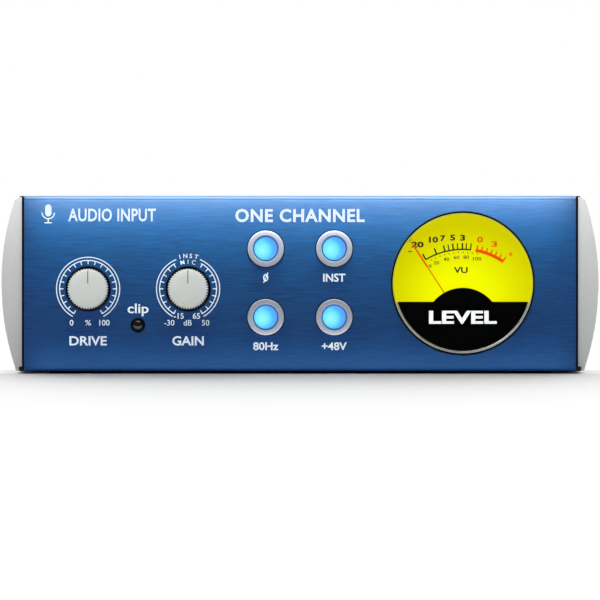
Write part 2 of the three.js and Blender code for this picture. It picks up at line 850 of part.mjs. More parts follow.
// Microphone input: a round receptacle with a core for three contacts and a spring latch above it.
function microphoneInput() {
  const group = new THREE.Group();
  const bore = 9.6;
  const { halfWidth, z0, z1 } = latchSlot;
  const barrel = rod(11.9, -18, gap + 0.5, 32);
  const cavity = rod(bore, -13.2, mouthY + 1, 32);
  const slot = block(-halfWidth, halfWidth, -8, mouthY + 1, z0, z1);
  const hookWay = block(-2.2, 2.2, -8, mouthY + 1, 8, z0 + 0.5);
  const shell = cutBy(joined([barrel, xlrFlange()]), [cavity, slot, hookWay]);
  const contacts = contactPlaces.map(([x, z]) => rod(1.3, -8, 3, 12, x, z));
  const core = cutBy(rod(7.7, -13, 0.4, 32), contacts);
  const play = 0.4;
  const tab = block(-halfWidth + play, halfWidth - play, -5, mouthY + 1.5, z0 + play, z1 - play);
  const hook = block(-1.6, 1.6, -5, -3.4, bore - 0.8, z0 + 0.6);
  group.add(
    piece("mic_xlr_shell", shell, blackPlastic),
    piece("mic_xlr_core", core, blackPlastic),
    piece("mic_xlr_latch", joined([tab, hook]), steel),
  );
  group.position.set(micXlrX, rearY, xlrZ);
  return group;
}

// Line output: a round receptacle with three standing pins.
function lineOutput() {
  const group = new THREE.Group();
  const bore = 8.3;
  const barrel = rod(11.2, -14, gap + 0.5, 32);
  const cavity = rod(bore, -12, mouthY + 1, 32);
  const shell = joined([barrel, xlrFlange()]).subtract(cavity);
  const base = rod(bore - gap, -11.9, -10, 32);
  const pins = contactPlaces.map(([x, z]) => rod(1.2, -10.5, 0.2, 12, x, z));
  group.add(
    piece("line_xlr_shell", shell, blackPlastic),
    piece("line_xlr_pins", joined([base, ...pins]), nickel),
  );
  group.position.set(lineXlrX, rearY, xlrZ);
  return group;
}

function quarterInchJack(name, x) {
  const housing = block(-7.6, 7.6, -26, -rearPanelThickness - gap, boardTopZ + gap - jackZ, 7);
  const bushing = rod(jackBushRadius, -4, rearReach, 24);
  const bore = rod(3.3, -24.5, rearReach + 1, 16);
  const jack = piece(name, joined([housing, bushing]).subtract(bore), blackPlastic);
  jack.position.set(x, rearY, jackZ);
  return jack;
}

function powerInlet() {
  const housing = block(-5, 5, -14, -rearPanelThickness - gap, boardTopZ + gap - jackZ, 5.6);
  const bushing = rod(inletBushRadius, -4, 0.8, 24);
  const bore = rod(3, -10, 2, 20);
  const pin = rod(1, -10.4, -0.4, 12);
  const inlet = joined([joined([housing, bushing]).subtract(bore), pin]);
  const made = piece("power_inlet", inlet, blackPlastic);
  made.position.set(inletX, rearY, jackZ);
  return made;
}

const rocker = { radius: 7.74, halfWidth: 4.9, pivotY: -2.5, tilt: 7 };

function powerSwitch() {
  const group = new THREE.Group();
  const { halfWidth, halfHeight } = switchBody;
  const rim = 1.2;
  const bezelZ = halfHeight + rim;
  const bezel = block(-halfWidth - rim, halfWidth + rim, gap, 1.3, -bezelZ, bezelZ);
  const body = block(-halfWidth, halfWidth, -16, 0.5, -halfHeight, halfHeight);
  const opening = block(-5.2, 5.2, -12, 3, -8, 8);
  group.add(piece("power_switch_frame", joined([bezel, body]).subtract(opening), blackPlastic));

  // Seen from the side: two flat faces meeting in a shallow V, round ends, flat back.
  const { radius } = rocker;
  const tipAngle = Math.atan2(6.3, 4.5);
  const backAngle = Math.acos(-3 / radius);
  const s = new THREE.Shape();
  s.moveTo(2.4, 0);
  s.lineTo(radius * Math.cos(tipAngle), radius * Math.sin(tipAngle));
  s.absarc(0, 0, radius, tipAngle, backAngle, false);
  s.lineTo(-3, -radius * Math.sin(backAngle));
  s.absarc(0, 0, radius, -backAngle, -tipAngle, false);
  s.closePath();
  const rockerBody = drawnAlongX(s, -rocker.halfWidth, rocker.halfWidth, 6);
  const key = piece("power_rocker", rockerBody, blackPlastic);
  key.rotation.x = THREE.MathUtils.degToRad(rocker.tilt);
  key.position.y = rocker.pivotY;
  group.add(key);
  group.position.set(powerSwitchX, rearY, powerSwitchZ);
  return group;
}

function rearConnectors() {
  const group = new THREE.Group();
  group.add(
    microphoneInput(),
    lineOutput(),
    quarterInchJack("instrument_jack", instrumentJackX),
    quarterInchJack("line_jack", lineJackX),
    powerInlet(),
    powerSwitch(),
  );
  return group;
}

// ---- The whole unit -----------------------------------------------------------------------------

const preamp = new THREE.Group();
preamp.add(
  enclosure(),
  ...knobs.map(rotaryControl),
  ...buttons.map(pushButton),
  clipIndicator(),
  controlBoard(),
  levelMeter(),
  electronics(),
  rearConnectors(),
);

export default preamp;
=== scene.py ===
"""A one-channel tube microphone preamp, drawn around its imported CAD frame.

The unit is the millimetre until a mesh is made. The front faces -Y and +Z is up.
"""

import json
import math

import bmesh
import bpy
from mathutils import Matrix, Vector

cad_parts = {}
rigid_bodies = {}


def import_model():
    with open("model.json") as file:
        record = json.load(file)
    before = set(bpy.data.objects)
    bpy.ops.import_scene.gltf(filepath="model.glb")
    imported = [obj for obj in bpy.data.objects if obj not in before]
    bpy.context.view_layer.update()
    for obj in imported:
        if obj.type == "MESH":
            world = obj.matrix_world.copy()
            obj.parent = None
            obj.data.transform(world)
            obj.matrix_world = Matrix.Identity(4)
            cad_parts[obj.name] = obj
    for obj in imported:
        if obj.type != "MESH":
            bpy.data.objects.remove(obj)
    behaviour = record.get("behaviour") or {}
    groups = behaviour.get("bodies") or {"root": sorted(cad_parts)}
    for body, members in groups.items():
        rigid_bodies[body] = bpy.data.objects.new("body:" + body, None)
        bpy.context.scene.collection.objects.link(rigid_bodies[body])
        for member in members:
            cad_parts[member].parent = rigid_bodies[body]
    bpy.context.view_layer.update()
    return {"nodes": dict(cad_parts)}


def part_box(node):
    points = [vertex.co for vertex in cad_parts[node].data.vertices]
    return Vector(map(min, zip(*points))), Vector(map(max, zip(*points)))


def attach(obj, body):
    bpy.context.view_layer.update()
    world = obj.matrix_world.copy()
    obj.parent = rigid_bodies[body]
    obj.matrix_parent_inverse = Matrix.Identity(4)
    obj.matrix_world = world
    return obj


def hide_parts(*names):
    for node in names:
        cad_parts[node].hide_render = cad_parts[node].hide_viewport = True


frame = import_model()

MM = 0.001  # metres in a millimetre
PRINT_RELIEF = 0.04  # how far printed ink stands proud
PRINT_SINK = 0.03  # how far its underside is sunk, so that no gap shows


# ---- Where things are ----


def corners(node):
    """Lowest and highest corner of a CAD node, in millimetres."""
    low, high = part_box(node)
    return Vector(low) / MM, Vector(high) / MM


def centre(node):
    low, high = corners(node)
    return (low + high) / 2


def axis_at(point):
    """Where a line along Y through a point crosses Y = 0. Lathed parts are placed by it."""
    return (point.x, 0, point.z)


PANEL_LOW, PANEL_HIGH = corners("front_panel")
REAR_LOW, REAR_HIGH = corners("rear_panel")
FRONT = PANEL_LOW.y
REAR = REAR_HIGH.y
CASE_SIDE = corners("bottom_chassis")[1].x
KNOBS = ("drive", "gain")
BUTTONS = ("phase", "instrument", "low_cut", "phantom")
METER = centre("meter_lens")
METER_AXIS = axis_at(METER)
PIVOT = Vector((METER.x, 0, METER.z - 9.6))  # of the needle
NEEDLE_REST = -33  # degrees from upright
FLANGE_FACE = REAR + 2.1  # of the two XLR sockets
JACK_Z = REAR_LOW.z + 15.1  # axis of the jacks and the power inlet


# ---- Mesh code ----


def filleted(points, steps=4):
    """A polyline whose points may carry a third value, the radius of a fillet at that corner."""
    result = []
    for i, point in enumerate(points):
        here = Vector(point[:2])
        radius = point[2] if len(point) > 2 else 0
        if not radius:
            result.append(here)
            continue
        back = Vector(points[i - 1][:2]) - here
        ahead = Vector(points[(i + 1) % len(points)][:2]) - here
        half = back.angle(ahead) / 2
        run = min(radius / math.tan(half), 0.49 * back.length, 0.49 * ahead.length)
        back.normalize()
        ahead.normalize()
        middle = here + (back + ahead).normalized() * (run / math.cos(half))
        start, end = here + back * run - middle, here + ahead * run - middle
        turn = start.angle_signed(end)
        for k in range(steps + 1):
            spin = Matrix.Rotation(-turn * k / steps, 2)
            result.append(middle + spin @ start)
    return result


def lathe(profile, segments, at=(0, 0, 0), bump=None):
    """A body of revolution about the Y axis through `at`. A profile point is (radius, y[, fillet]).

    The profile starts and ends on the axis, or closes on itself. bump(radius, y, angle) gives a
    new radius.
    """
    verts, faces, rings = [], [], []
    points = filleted(profile)
    closed = points[0].x > 1e-6
    for radius, y in points:
        count = segments if radius > 1e-6 else 1
        rings.append(range(len(verts), len(verts) + count))
        for k in range(count):
            angle = 2 * math.pi * k / segments
            r = bump(radius, y, angle) if bump else radius
            verts.append((at[0] + r * math.sin(angle), at[1] + y, at[2] + r * math.cos(angle)))
    pairs = list(zip(rings, rings[1:]))
    if closed:
        pairs.append((rings[-1], rings[0]))
    for a, b in pairs:
        for k in range(segments):
            n = (k + 1) % segments
            if len(a) == 1 and len(b) == 1:
                continue
            if len(a) == 1:
                faces.append((a[0], b[k], b[n]))
            elif len(b) == 1:
                faces.append((a[k], b[0], a[n]))
            else:
                faces.append((a[k], b[k], b[n], a[n]))
    return verts, faces


def rod(radius, y0, y1, at, segments=64, fillets=(0, 0)):
    """A round rod along Y, with a fillet for its edge at y0 and one for its edge at y1."""
    profile = [(0, y0), (radius, y0, fillets[0]), (radius, y1, fillets[1]), (0, y1)]
    return lathe(profile, segments, at)


def tube(inner, outer, y0, y1, at, segments, fillets):
    """A ring along Y, with fillets for the edges inner y0, outer y0, outer y1 and inner y1."""
    edges = ((inner, y0), (outer, y0), (outer, y1), (inner, y1))
    return lathe([(*edge, fillet) for edge, fillet in zip(edges, fillets)], segments, at)


def flared_bore(radius, mouth, y0, y1, face, at, segments=64):
    """The tool for a round bore that opens from radius at y0 to y1, to its mouth past a face."""
    profile = [(0, y0), (radius, y0), (radius, y1), (mouth, face), (mouth, face + 1), (0, face + 1)]
    return lathe(profile, segments, at)


def drawn(outline, low, high, axis="y"):
    """A closed outline drawn out from low to high: (x, z) along y, (y, z) along x, (x, y) along z.

    Its points may carry a fillet radius.
    """
    points = filleted(outline)
    place = {
        "x": lambda u, v, w: (w, u, v),
        "y": lambda u, v, w: (u, w, v),
        "z": lambda u, v, w: (u, v, w),
    }[axis]
    count = len(points)
    verts = [place(u, v, w) for w in (low, high) for u, v in points]
    faces = [tuple(range(count)), tuple(range(count, 2 * count))]
    faces += [(k, (k + 1) % count, count + (k + 1) % count, count + k) for k in range(count)]
    return verts, faces


def rectangle(u0, v0, u1, v1, fillet=0.0):
    return [(u0, v0, fillet), (u1, v0, fillet), (u1, v1, fillet), (u0, v1, fillet)]


def block(low, high, fillet=0.0, axis="y"):
    """A box, with its edges along one axis rounded."""
    u, v, w = {"x": (1, 2, 0), "y": (0, 2, 1), "z": (0, 1, 2)}[axis]
    return drawn(rectangle(low[u], low[v], high[u], high[v], fillet), low[w], high[w], axis)


def block_about(at, half_x, half_z, y0, y1, fillet=0.0):
    """A box from y0 to y1, centred on a point, with its edges along Y rounded."""
    low = (at.x - half_x, y0, at.z - half_z)
    return block(low, (at.x + half_x, y1, at.z + half_z), fillet)


def ribbon(left, right, y0, y1):
    """A flat strip between two polylines of (x, z), from y0 to y1."""
    count = len(left)
    verts = [(x, y, z) for y in (y0, y1) for line in (left, right) for x, z in line]
    l0, r0, l1, r1 = (range(k * count, (k + 1) * count) for k in range(4))
    faces = [(l0[0], r0[0], r1[0], l1[0]), (l0[-1], r0[-1], r1[-1], l1[-1])]
    for a in range(count - 1):
        b = a + 1
        for one, other in ((l0, r0), (l1, r1), (l0, l1), (r0, r1)):
            faces.append((one[a], one[b], other[b], other[a]))
    return verts, faces


def merged(parts):
    verts, faces = [], []
    for part_verts, part_faces in parts:
        shift = len(verts)
        verts += [tuple(v) for v in part_verts]
        faces += [tuple(i + shift for i in face) for face in part_faces]
    return verts, faces


def moved(part, matrix):
    verts, faces = part
    return [tuple(matrix @ Vector(v)) for v in verts], faces


def part_of(mesh, scale=1):
    """The vertices and faces of a mesh, its lengths divided by scale."""
    return [tuple(v.co / scale) for v in mesh.vertices], [tuple(p.vertices) for p in mesh.polygons]


def new_object(name, part):
    verts, faces = part
    mesh = bpy.data.meshes.new(name)
    mesh.from_pydata([Vector(v) * MM for v in verts], [], faces)
    made = bmesh.new()
    made.from_mesh(mesh)
    bmesh.ops.recalc_face_normals(made, faces=made.faces)
    made.to_mesh(mesh)
    made.free()
    obj = bpy.data.objects.new(name, mesh)
    bpy.context.scene.collection.objects.link(obj)
    return obj


def apply_modifiers(obj):
    graph = bpy.context.evaluated_depsgraph_get()
    mesh = bpy.data.meshes.new_from_object(obj.evaluated_get(graph))
    obj.modifiers.clear()
    obj.data = mesh


def boolean(obj, parts, operation="DIFFERENCE"):
    """Cuts the parts out of the object, or joins them to it. The parts don't overlap each other."""
    tool = new_object("tool", merged(parts))
    modifier = obj.modifiers.new("boolean", "BOOLEAN")
    modifier.operation = operation
    modifier.solver = "EXACT"
    modifier.object = tool
    apply_modifiers(obj)
    bpy.data.objects.remove(tool, do_unlink=True)


def soften(obj, width, segments=2, angle=32):
    """Rounds every edge sharper than the angle."""
    modifier = obj.modifiers.new("soften", "BEVEL")
    modifier.width = width * MM
    modifier.segments = segments
    modifier.limit_method = "ANGLE"
    modifier.angle_limit = math.radians(angle)
    modifier.miter_outer = "MITER_ARC"
    apply_modifiers(obj)


def finished(obj, material, replaces=(), body="case", smooth=38):
    """Gives a piece its material, its CAD nodes and its body."""
    obj.data.materials.clear()
    obj.data.materials.append(material)
    obj.data.shade_smooth()
    obj.data.set_sharp_from_angle(angle=math.radians(smooth))
    flat = obj.modifiers.new("flat_faces", "WEIGHTED_NORMAL")
    flat.keep_sharp = True
    flat.weight = 100
    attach(obj, body)
    if replaces:
        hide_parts(*replaces)


# ---- Materials ----


class Surface:
    """A Principled material whose colour, roughness and relief vary by procedural noise."""

    def __init__(self, name, color, roughness, metallic=0.0, **fixed):
        self.material = bpy.data.materials.new(name)
        self.material.use_nodes = True
        self.nodes = self.material.node_tree.nodes
        self.links = self.material.node_tree.links
        self.sockets = self.nodes["Principled BSDF"].inputs
        self.color, self.roughness = color, roughness
        self.sockets["Base Color"].default_value = (*color, 1)
        self.sockets["Roughness"].default_value = roughness
        self.sockets["Metallic"].default_value = metallic
        for socket, value in fixed.items():
            self.sockets[socket.replace("_", " ")].default_value = value

    def add(self, kind, **values):
        node = self.nodes.new("ShaderNode" + kind)
        for key, value in values.items():
            if key in node.inputs:
                node.inputs[key].default_value = value
            else:
                setattr(node, key, value)
        return node

    def feed(self, socket, value):
        self.links.new(value, self.sockets[socket])
        return self

    def place(self):
        return self.add("TexCoord").outputs["Object"]

    def height(self):
        """The height in the unit's own frame, in metres."""
        split = self.add("SeparateXYZ")
        self.links.new(self.place(), split.inputs[0])
        return split.outputs["Z"]

    def distance(self, at):
        """The distance in metres from a point given in millimetres."""
        away = self.add("VectorMath", operation="DISTANCE")
        away.inputs[1].default_value = Vector(at) * MM
        self.links.new(self.place(), away.inputs[0])
        return away.outputs["Value"]

    def noise(self, grain, detail=2.0, stretch=(1, 1, 1)):
        """Noise in object space with a grain of so many millimetres, stretched along an axis."""
        mapping = self.add("Mapping")
        mapping.inputs["Scale"].default_value = [1 / s for s in stretch]
        noise = self.add("TexNoise", Scale=1 / (grain * MM), Detail=detail)
        self.links.new(self.place(), mapping.inputs["Vector"])
        self.links.new(mapping.outputs["Vector"], noise.inputs["Vector"])
        return noise.outputs["Fac"]

    def ranged(self, value, low, high, start=0.3, end=0.7):
        span = self.add("MapRange")
        for socket, limit in (("From Min", start), ("From Max", end), ("To Min", low), ("To Max", high)):
            span.inputs[socket].default_value = limit
        self.links.new(value, span.inputs["Value"])
        return span.outputs["Result"]

    def sum_of(self, one, other):
        total = self.add("Math", operation="ADD")
        for socket, value in zip(total.inputs, (one, other)):
            self.links.new(value, socket)
        return total.outputs[0]

    def scaled(self, value, factor):
        product = self.add("Math", operation="MULTIPLY")
        product.inputs[1].default_value = factor
        self.links.new(value, product.inputs[0])
        return product.outputs[0]

    def between(self, value, low, high):
        """The colour that goes from low to high as the value goes from 0 to 1."""
        mix = self.add("Mix", data_type="RGBA")
        mix.inputs[6].default_value = (*low, 1)
        mix.inputs[7].default_value = (*high, 1)
        self.links.new(value, mix.inputs[0])
        return mix.outputs[2]

    def vary_color(self, value, amount):
        low = [c * (1 - amount) for c in self.color]
        high = [min(c * (1 + amount), 1) for c in self.color]
        return self.feed("Base Color", self.between(self.ranged(value, 0, 1), low, high))

    def vary_roughness(self, value, amount):
        low, high = self.roughness - amount, self.roughness + amount
        return self.feed("Roughness", self.ranged(value, low, high))

    def relief(self, value, height, strength=1.0):
        """Relief of so many millimetres."""
        bump = self.add("Bump", Strength=strength, Distance=height * MM)
        self.links.new(value, bump.inputs["Height"])
        return self.feed("Normal", bump.outputs["Normal"])

    def brushed_along(self, direction):
        """Stretches highlights across a direction, as fine brush marks along it do."""
        vector = self.add("CombineXYZ")
        for axis, value in zip("XYZ", direction):
            vector.inputs[axis].default_value = value
        return self.feed("Tangent", vector.outputs["Vector"])

    def grained(self, grain, tint=0.05, roughness=0.05, height=0.01, stretch=(1, 1, 1)):
        """The material, with one noise in its colour, roughness and relief."""
        value = self.noise(grain, stretch=stretch)
        self.vary_color(value, tint).vary_roughness(value, roughness).relief(value, height)
        return self.material


def emitting(name, color, strength, roughness=0.3, **fixed):
    s = Surface(name, color, roughness, Emission_Color=(*color, 1), **fixed)
    s.sockets["Emission Strength"].default_value = strength
    return s


def anodised_panel():
    """Blue anodised aluminium with long horizontal brush marks."""
    coat = {"Coat_Weight": 0.43, "Coat_IOR": 1.75, "Coat_Roughness": 0.36}
    s = Surface("blue_anodised", (0.001, 0.079, 0.325), 0.46, 1.0, Anisotropic=0.75, **coat)
    streaks = s.noise(0.11, detail=3, stretch=(60, 1, 1))
    dashes = s.noise(0.28, detail=2, stretch=(14, 1, 1))
    value = s.scaled(s.sum_of(streaks, dashes), 0.5)
    s.vary_color(value, 0.4).vary_roughness(value, 0.1).relief(value, 0.006, 0.6)
    return s.brushed_along((0, 0, 1)).material


def clear(name, color, ior, roughness=0.02):
    s = Surface(name, color, roughness, Transmission_Weight=1.0, IOR=ior)
    return s.vary_roughness(s.noise(4), 0.01).material


def red_paint():
    # The red glows. On the card's red scale the glow stands for the backlight through the print; on the
    # needle, which the backlight doesn't pass through, the glow is painted light.
    s = emitting("red_paint", (0.82, 0.09, 0.0), 0.4, 0.5, Specular_IOR_Level=0.1)
    return s.vary_color(s.noise(0.3), 0.08).material


def glowing_dial():
    """Yellow translucent card, lit from behind by lamps below its middle."""
    s = emitting("glowing_dial", (0.16, 0.15, 0.0), 1.0, 0.6, Specular_IOR_Level=0.0)
    lamps = (METER.x, corners("meter_dial")[0].y, METER.z - 5)
    away = s.ranged(s.distance(lamps), 0, 1, 7 * MM, 20 * MM)
    s.feed("Emission Color", s.between(away, (0.90, 0.93, 0.0), (0.60, 0.54, 0.0)))
    return s.vary_color(s.noise(0.4), 0.06).material


def glowing_lens(name, at):
    """Clear blue lens with a light source behind its middle: brightest there, bluer at its edge."""
    s = Surface(name, (0.01, 0.06, 0.22), 0.3, Specular_IOR_Level=0.35, Emission_Strength=0.92)
    radius = 4.1 * MM
    ramp = s.add("ValToRGB")
    stops = ramp.color_ramp.elements
    stops[0].position, stops[0].color = 0.1, (0.30, 1.0, 1.0, 1)
    stops[1].position, stops[1].color = 0.98, (0.12, 0.30, 0.85, 1)
    for position, color in ((0.42, (0.17, 0.84, 1.0, 1)), (0.66, (0.08, 0.50, 1.0, 1))):
        stops.new(position).color = color
    s.links.new(s.ranged(s.distance(at), 0, 1, 0, radius), ramp.inputs["Fac"])
    s.feed("Emission Color", ramp.outputs["Color"])
    return s.vary_color(s.noise(0.6), 0.05).material


def dark_lamp():
    """A lamp that is off: black, with a gloss that is strongest low down. The gloss is cut back on its
    upper part as painted shade, so the top of the dome looks shaded.
    """
    gloss = {"Specular_IOR_Level": 0.1, "Coat_IOR": 2.0, "Coat_Roughness": 0.05}
    s = Surface("led_dark", (0.004, 0.003, 0.003), 0.3, **gloss)
    line = centre("clip_led").z * MM
    # Painted shade: the coat is weak above the line and strong below it.
    s.feed("Coat Weight", s.ranged(s.height(), 1.0, 0.2, line - 0.5 * MM, line))
    return s.vary_color(s.noise(0.5), 0.2).material


def rim_material():
    """Clear rim: silvery round the black cover, and above it yellow with a painted glow, which stands in
    for the card's light carried through the rim.
    """
    silver, yellow, glow = (0.74, 0.77, 0.70), (0.20, 0.19, 0.03), (0.55, 0.55, 0.02, 1)
    s = Surface("meter_rim", silver, 0.3, 0.3, Emission_Color=glow)
    line = (METER.z - 4.6) * MM
    above = s.ranged(s.height(), 0, 1, line - 1.5 * MM, line + 1.5 * MM)
    # Painted light: above the mask line the rim is coloured yellow and glows.
    s.feed("Base Color", s.between(above, silver, yellow))
    s.feed("Emission Strength", s.scaled(above, 0.75))
    return s.vary_roughness(s.noise(0.6), 0.05).material


BLUE_PANEL = anodised_panel()
# Painted light: the white print glows, though no light comes from it.
GLOWING_WHITE_INK = emitting("glowing_white_ink", (0.80, 0.90, 1.0), 0.34, 0.5).grained(0.2, 0.03, 0.05, 0.002)
# Painted light: the label's white print on the meter's cover glows, though no light comes from it.
GLOWING_LABEL_INK = emitting("glowing_label_ink", (0.92, 0.93, 0.93), 0.65, 0.5).grained(0.2, 0.03, 0.05, 0.002)
CASE_PAINT = Surface("case_paint", (0.022, 0.023, 0.025), 0.5).grained(0.35, 0.15, height=0.03)
CHEEK_PAINT = Surface("cheek_paint", (0.78, 0.79, 0.78), 0.42).grained(0.5, 0.02, 0.04, 0.004)
KNOB_PAINT = Surface("knob_paint", (0.72, 0.75, 0.72), 0.42).grained(0.3, 0.03, 0.05, 0.004)
RING_PAINT = Surface("ring_paint", (0.37, 0.39, 0.45), 0.36, 0.2).grained(0.3, 0.04, 0.05, 0.004)
BLACK = Surface("black_plastic", (0.012, 0.012, 0.014), 0.42).grained(0.25, 0.2, 0.06, 0.008)
MATT = {"Specular_IOR_Level": 0.0}
GLOSS_BLACK = Surface("gloss_black", (0.001, 0.001, 0.0015), 0.25, **MATT).grained(2, 0.2, 0.02, 0.001)
SATIN = {"Specular_IOR_Level": 0.2}
SHINY_BLACK = Surface("shiny_black", (0.003, 0.003, 0.004), 0.25, **SATIN).grained(0.3, 0.2, 0.04, 0.002)
RUBBER = Surface("rubber", (0.018, 0.018, 0.018), 0.8).grained(0.3, 0.15, 0.08, 0.02)
ZINC = Surface("zinc_steel", (0.55, 0.56, 0.57), 0.32, 1.0).grained(0.4, 0.06, 0.07, 0.004)
BLACK_ZINC = Surface("black_zinc", (0.09, 0.09, 0.10), 0.35, 1.0).grained(0.4, 0.1, 0.06, 0.004)
NICKEL = Surface("nickel", (0.66, 0.64, 0.60), 0.2, 1.0).grained(0.6, 0.04, 0.05, 0.002)
POINTER_GREY = Surface("pointer_grey", (0.10, 0.10, 0.10), 0.6).grained(0.2, 0.1, 0.05, 0.002)
BLACK_INK = Surface("black_ink", (0.01, 0.01, 0.012), 0.5).grained(0.2, 0.2, 0.05, 0.002)
BOARD = Surface("circuit_board", (0.015, 0.10, 0.04), 0.4).grained(1.2, 0.25, 0.06, 0.01)
WHITE = Surface("white_plastic", (0.70, 0.70, 0.67), 0.45).grained(0.4, 0.03, 0.05, 0.004)
CERAMIC = Surface("ceramic", (0.74, 0.71, 0.64), 0.6).grained(0.5, 0.05, 0.06, 0.01)
COPPER = Surface("copper_wire", (0.62, 0.22, 0.09), 0.35, 1.0).grained(0.15, 0.15, 0.08, 0.02)
RIBBON = Surface("ribbon_cable", (0.28, 0.28, 0.30), 0.55).grained(0.5, 0.1, 0.05, 0.05, (1, 8, 8))
LENS_CLEAR = clear("clear_lens", (0.97, 0.99, 0.98), 1.15)
TUBE_GLASS = clear("tube_glass", (0.93, 0.97, 0.96), 1.5)
LED_DARK = dark_lamp()
METER_RIM = rim_material()
DIAL_GLOW = glowing_dial()
RED_GLOWING_PAINT = red_paint()


# ---- Print ----


def polar(x, z, radius, degrees):
    """A point round (x, z). Angles are clockwise from upright."""
    angle = math.radians(degrees)
    return x + radius * math.sin(angle), z + radius * math.cos(angle)


def glyphs(text, bold, spacing=1.0):
    """The built-in font's letters as a thin mesh, (x, y) with z as its thickness, one unit high."""
    font = bpy.data.curves.new("letters", "FONT")
    font.body = text
    font.space_character = spacing
    font.extrude = 0.5
    font.offset = bold
    font.resolution_u = 3
    holder = bpy.data.objects.new("letters", font)
    bpy.context.scene.collection.objects.link(holder)
    graph = bpy.context.evaluated_depsgraph_get()
    part = part_of(bpy.data.meshes.new_from_object(holder.evaluated_get(graph)))
    bpy.data.objects.remove(holder, do_unlink=True)
    return part


CAP_HEIGHT = max(v[1] for v in glyphs("H", 0)[0])


class Ink:
    """Print on a face that looks along -Y (front) or +Y (back), all of one colour."""

    def __init__(self, face_y, back=False):
        self.parts = []
        self.outward = 1 if back else -1
        self.y0 = face_y - self.outward * PRINT_SINK
        self.y1 = face_y + self.outward * PRINT_RELIEF

    def text(self, text, x, z, height, width=None, bold=0.015, turn=0, spacing=1.0):
        """Letters centred on (x, z). height is a capital's; width stretches the whole line."""
        verts, faces = glyphs(text, bold, spacing)
        xs = [v[0] for v in verts]
        middle = (min(xs) + max(xs)) / 2
        tall = height / CAP_HEIGHT
        wide = width / (max(xs) - min(xs)) if width else tall
        spin = Matrix.Rotation(math.radians(-turn), 2)
        placed = []
        for vx, vy, vz in verts:
            flat = spin @ Vector(((vx - middle) * wide, (vy - CAP_HEIGHT / 2) * tall))
            y = self.y1 if vz > 0 else self.y0
            placed.append((x - self.outward * flat.x, y, z + flat.y))
        self.parts.append((placed, faces))

    def line(self, points, width):
        """A line of even width through (x, z) points."""
        points = [Vector(p) for p in points]
        left, right = [], []
        for i, here in enumerate(points):
            ahead = points[min(i + 1, len(points) - 1)] - points[max(i - 1, 0)]
            side = Vector((-ahead.y, ahead.x)).normalized() * width / 2
            left.append(here + side)
            right.append(here - side)
        self.parts.append(ribbon(left, right, self.y0, self.y1))

    def arc(self, x, z, radius, start, end, width):
        steps = max(2, round(abs(end - start) / 3))
        turns = [start + (end - start) * k / steps for k in range(steps + 1)]
        self.line([polar(x, z, radius, turn) for turn in turns], width)

    def tick(self, x, z, inner, outer, degrees, width):
        self.line([polar(x, z, inner, degrees), polar(x, z, outer, degrees)], width)

    def curved_text(self, text, x, z, radius, height, span, bold=0.015):
        """Letters spread evenly over span degrees round (x, z)."""
        for k, letter in enumerate(text):
            degrees = span * (k / (len(text) - 1) - 0.5)
            self.text(letter, *polar(x, z, radius, degrees), height, bold=bold, turn=degrees)

    def made(self, name, material, slot):
        finished(new_object(name, merged(self.parts)), material)


def knob_scale(ink, at, gaps=(0, 0)):
    """Two arcs round a knob, with ticks inwards from the inner one, and room left for words."""
    outer, inner, end, line, tick = 7.93, 7.15, 151, 0.25, 0.95
    for radius, gap in zip((outer, inner), gaps):
        for start, stop in ((-end, -gap), (gap, end)) if gap else ((-end, end),):
            ink.arc(at.x, at.z, radius, start, stop, line)
    for degrees in range(-150, 151, 15):
        if abs(degrees) >= gaps[1]:
            ink.tick(at.x, at.z, inner - tick, inner, degrees, line)


def panel_print():
    """Generic control names and scales on the front panel."""
    ink = Ink(FRONT)
    drive, gain, clip = centre("drive_knob"), centre("gain_knob"), centre("clip_led")
    knob_scale(ink, drive)
    knob_scale(ink, gain, (22, 27))
    ink.curved_text("INST", gain.x, gain.z, 8.3, 1.05, 29)
    ink.curved_text("MIC", gain.x, gain.z, 6.8, 1.05, 24, 0.005)
    figures_z, names_z, small, large, heavy = drive.z - 8.5, drive.z - 13.05, 1.38, 2.18, 0.022
    ink.text("0", drive.x - 4.15, figures_z, small)
    ink.text("%", drive.x, figures_z, 1.3, 1.5, 0.01)
    ink.text("100", drive.x + 4.1, figures_z, small)
    ink.text("-30", gain.x - 4.7, figures_z, small, bold=0)
    ink.text("dB", gain.x - 0.1, figures_z, small, bold=0.005)
    ink.text("50", gain.x + 4.4, figures_z, small, bold=0)
    ink.text("-15", gain.x - 2.35, figures_z + 1.7, small)
    ink.text("65", gain.x + 2.1, figures_z + 1.7, small)
    ink.text("DRIVE", drive.x, names_z, large, 9.4, heavy)
    ink.text("GAIN", gain.x, names_z, large, 7.9, heavy)
    ink.text("clip", clip.x + 0.05, clip.z + 4.2, 2.3, 5.3, 0.016)
    phase, instrument, low_cut, phantom = (centre(name + "_button_cap") for name in BUTTONS)
    below = 7.3
    ink.text("INST", instrument.x, instrument.z - below, 1.9, 5.6, heavy)
    ink.text("80Hz", low_cut.x, low_cut.z - below, 1.85, 6.35, heavy)
    ink.text("+48V", phantom.x, phantom.z - below, 1.85, 6.3, heavy)
    polarity_mark(ink, phase.x, phase.z - below)
    heading(ink)
    ink.made("panel_print", GLOWING_WHITE_INK, "white_plastic")


def polarity_mark(ink, x, z):
    """A narrow ring with a stroke through it."""
    angles = [2 * math.pi * k / 24 for k in range(25)]
    ink.line([(x + 0.5 * math.sin(a), z + 0.78 * math.cos(a)) for a in angles], 0.32)
    ink.line([(x - 0.55, z - 1.25), (x + 0.55, z + 1.25)], 0.24)


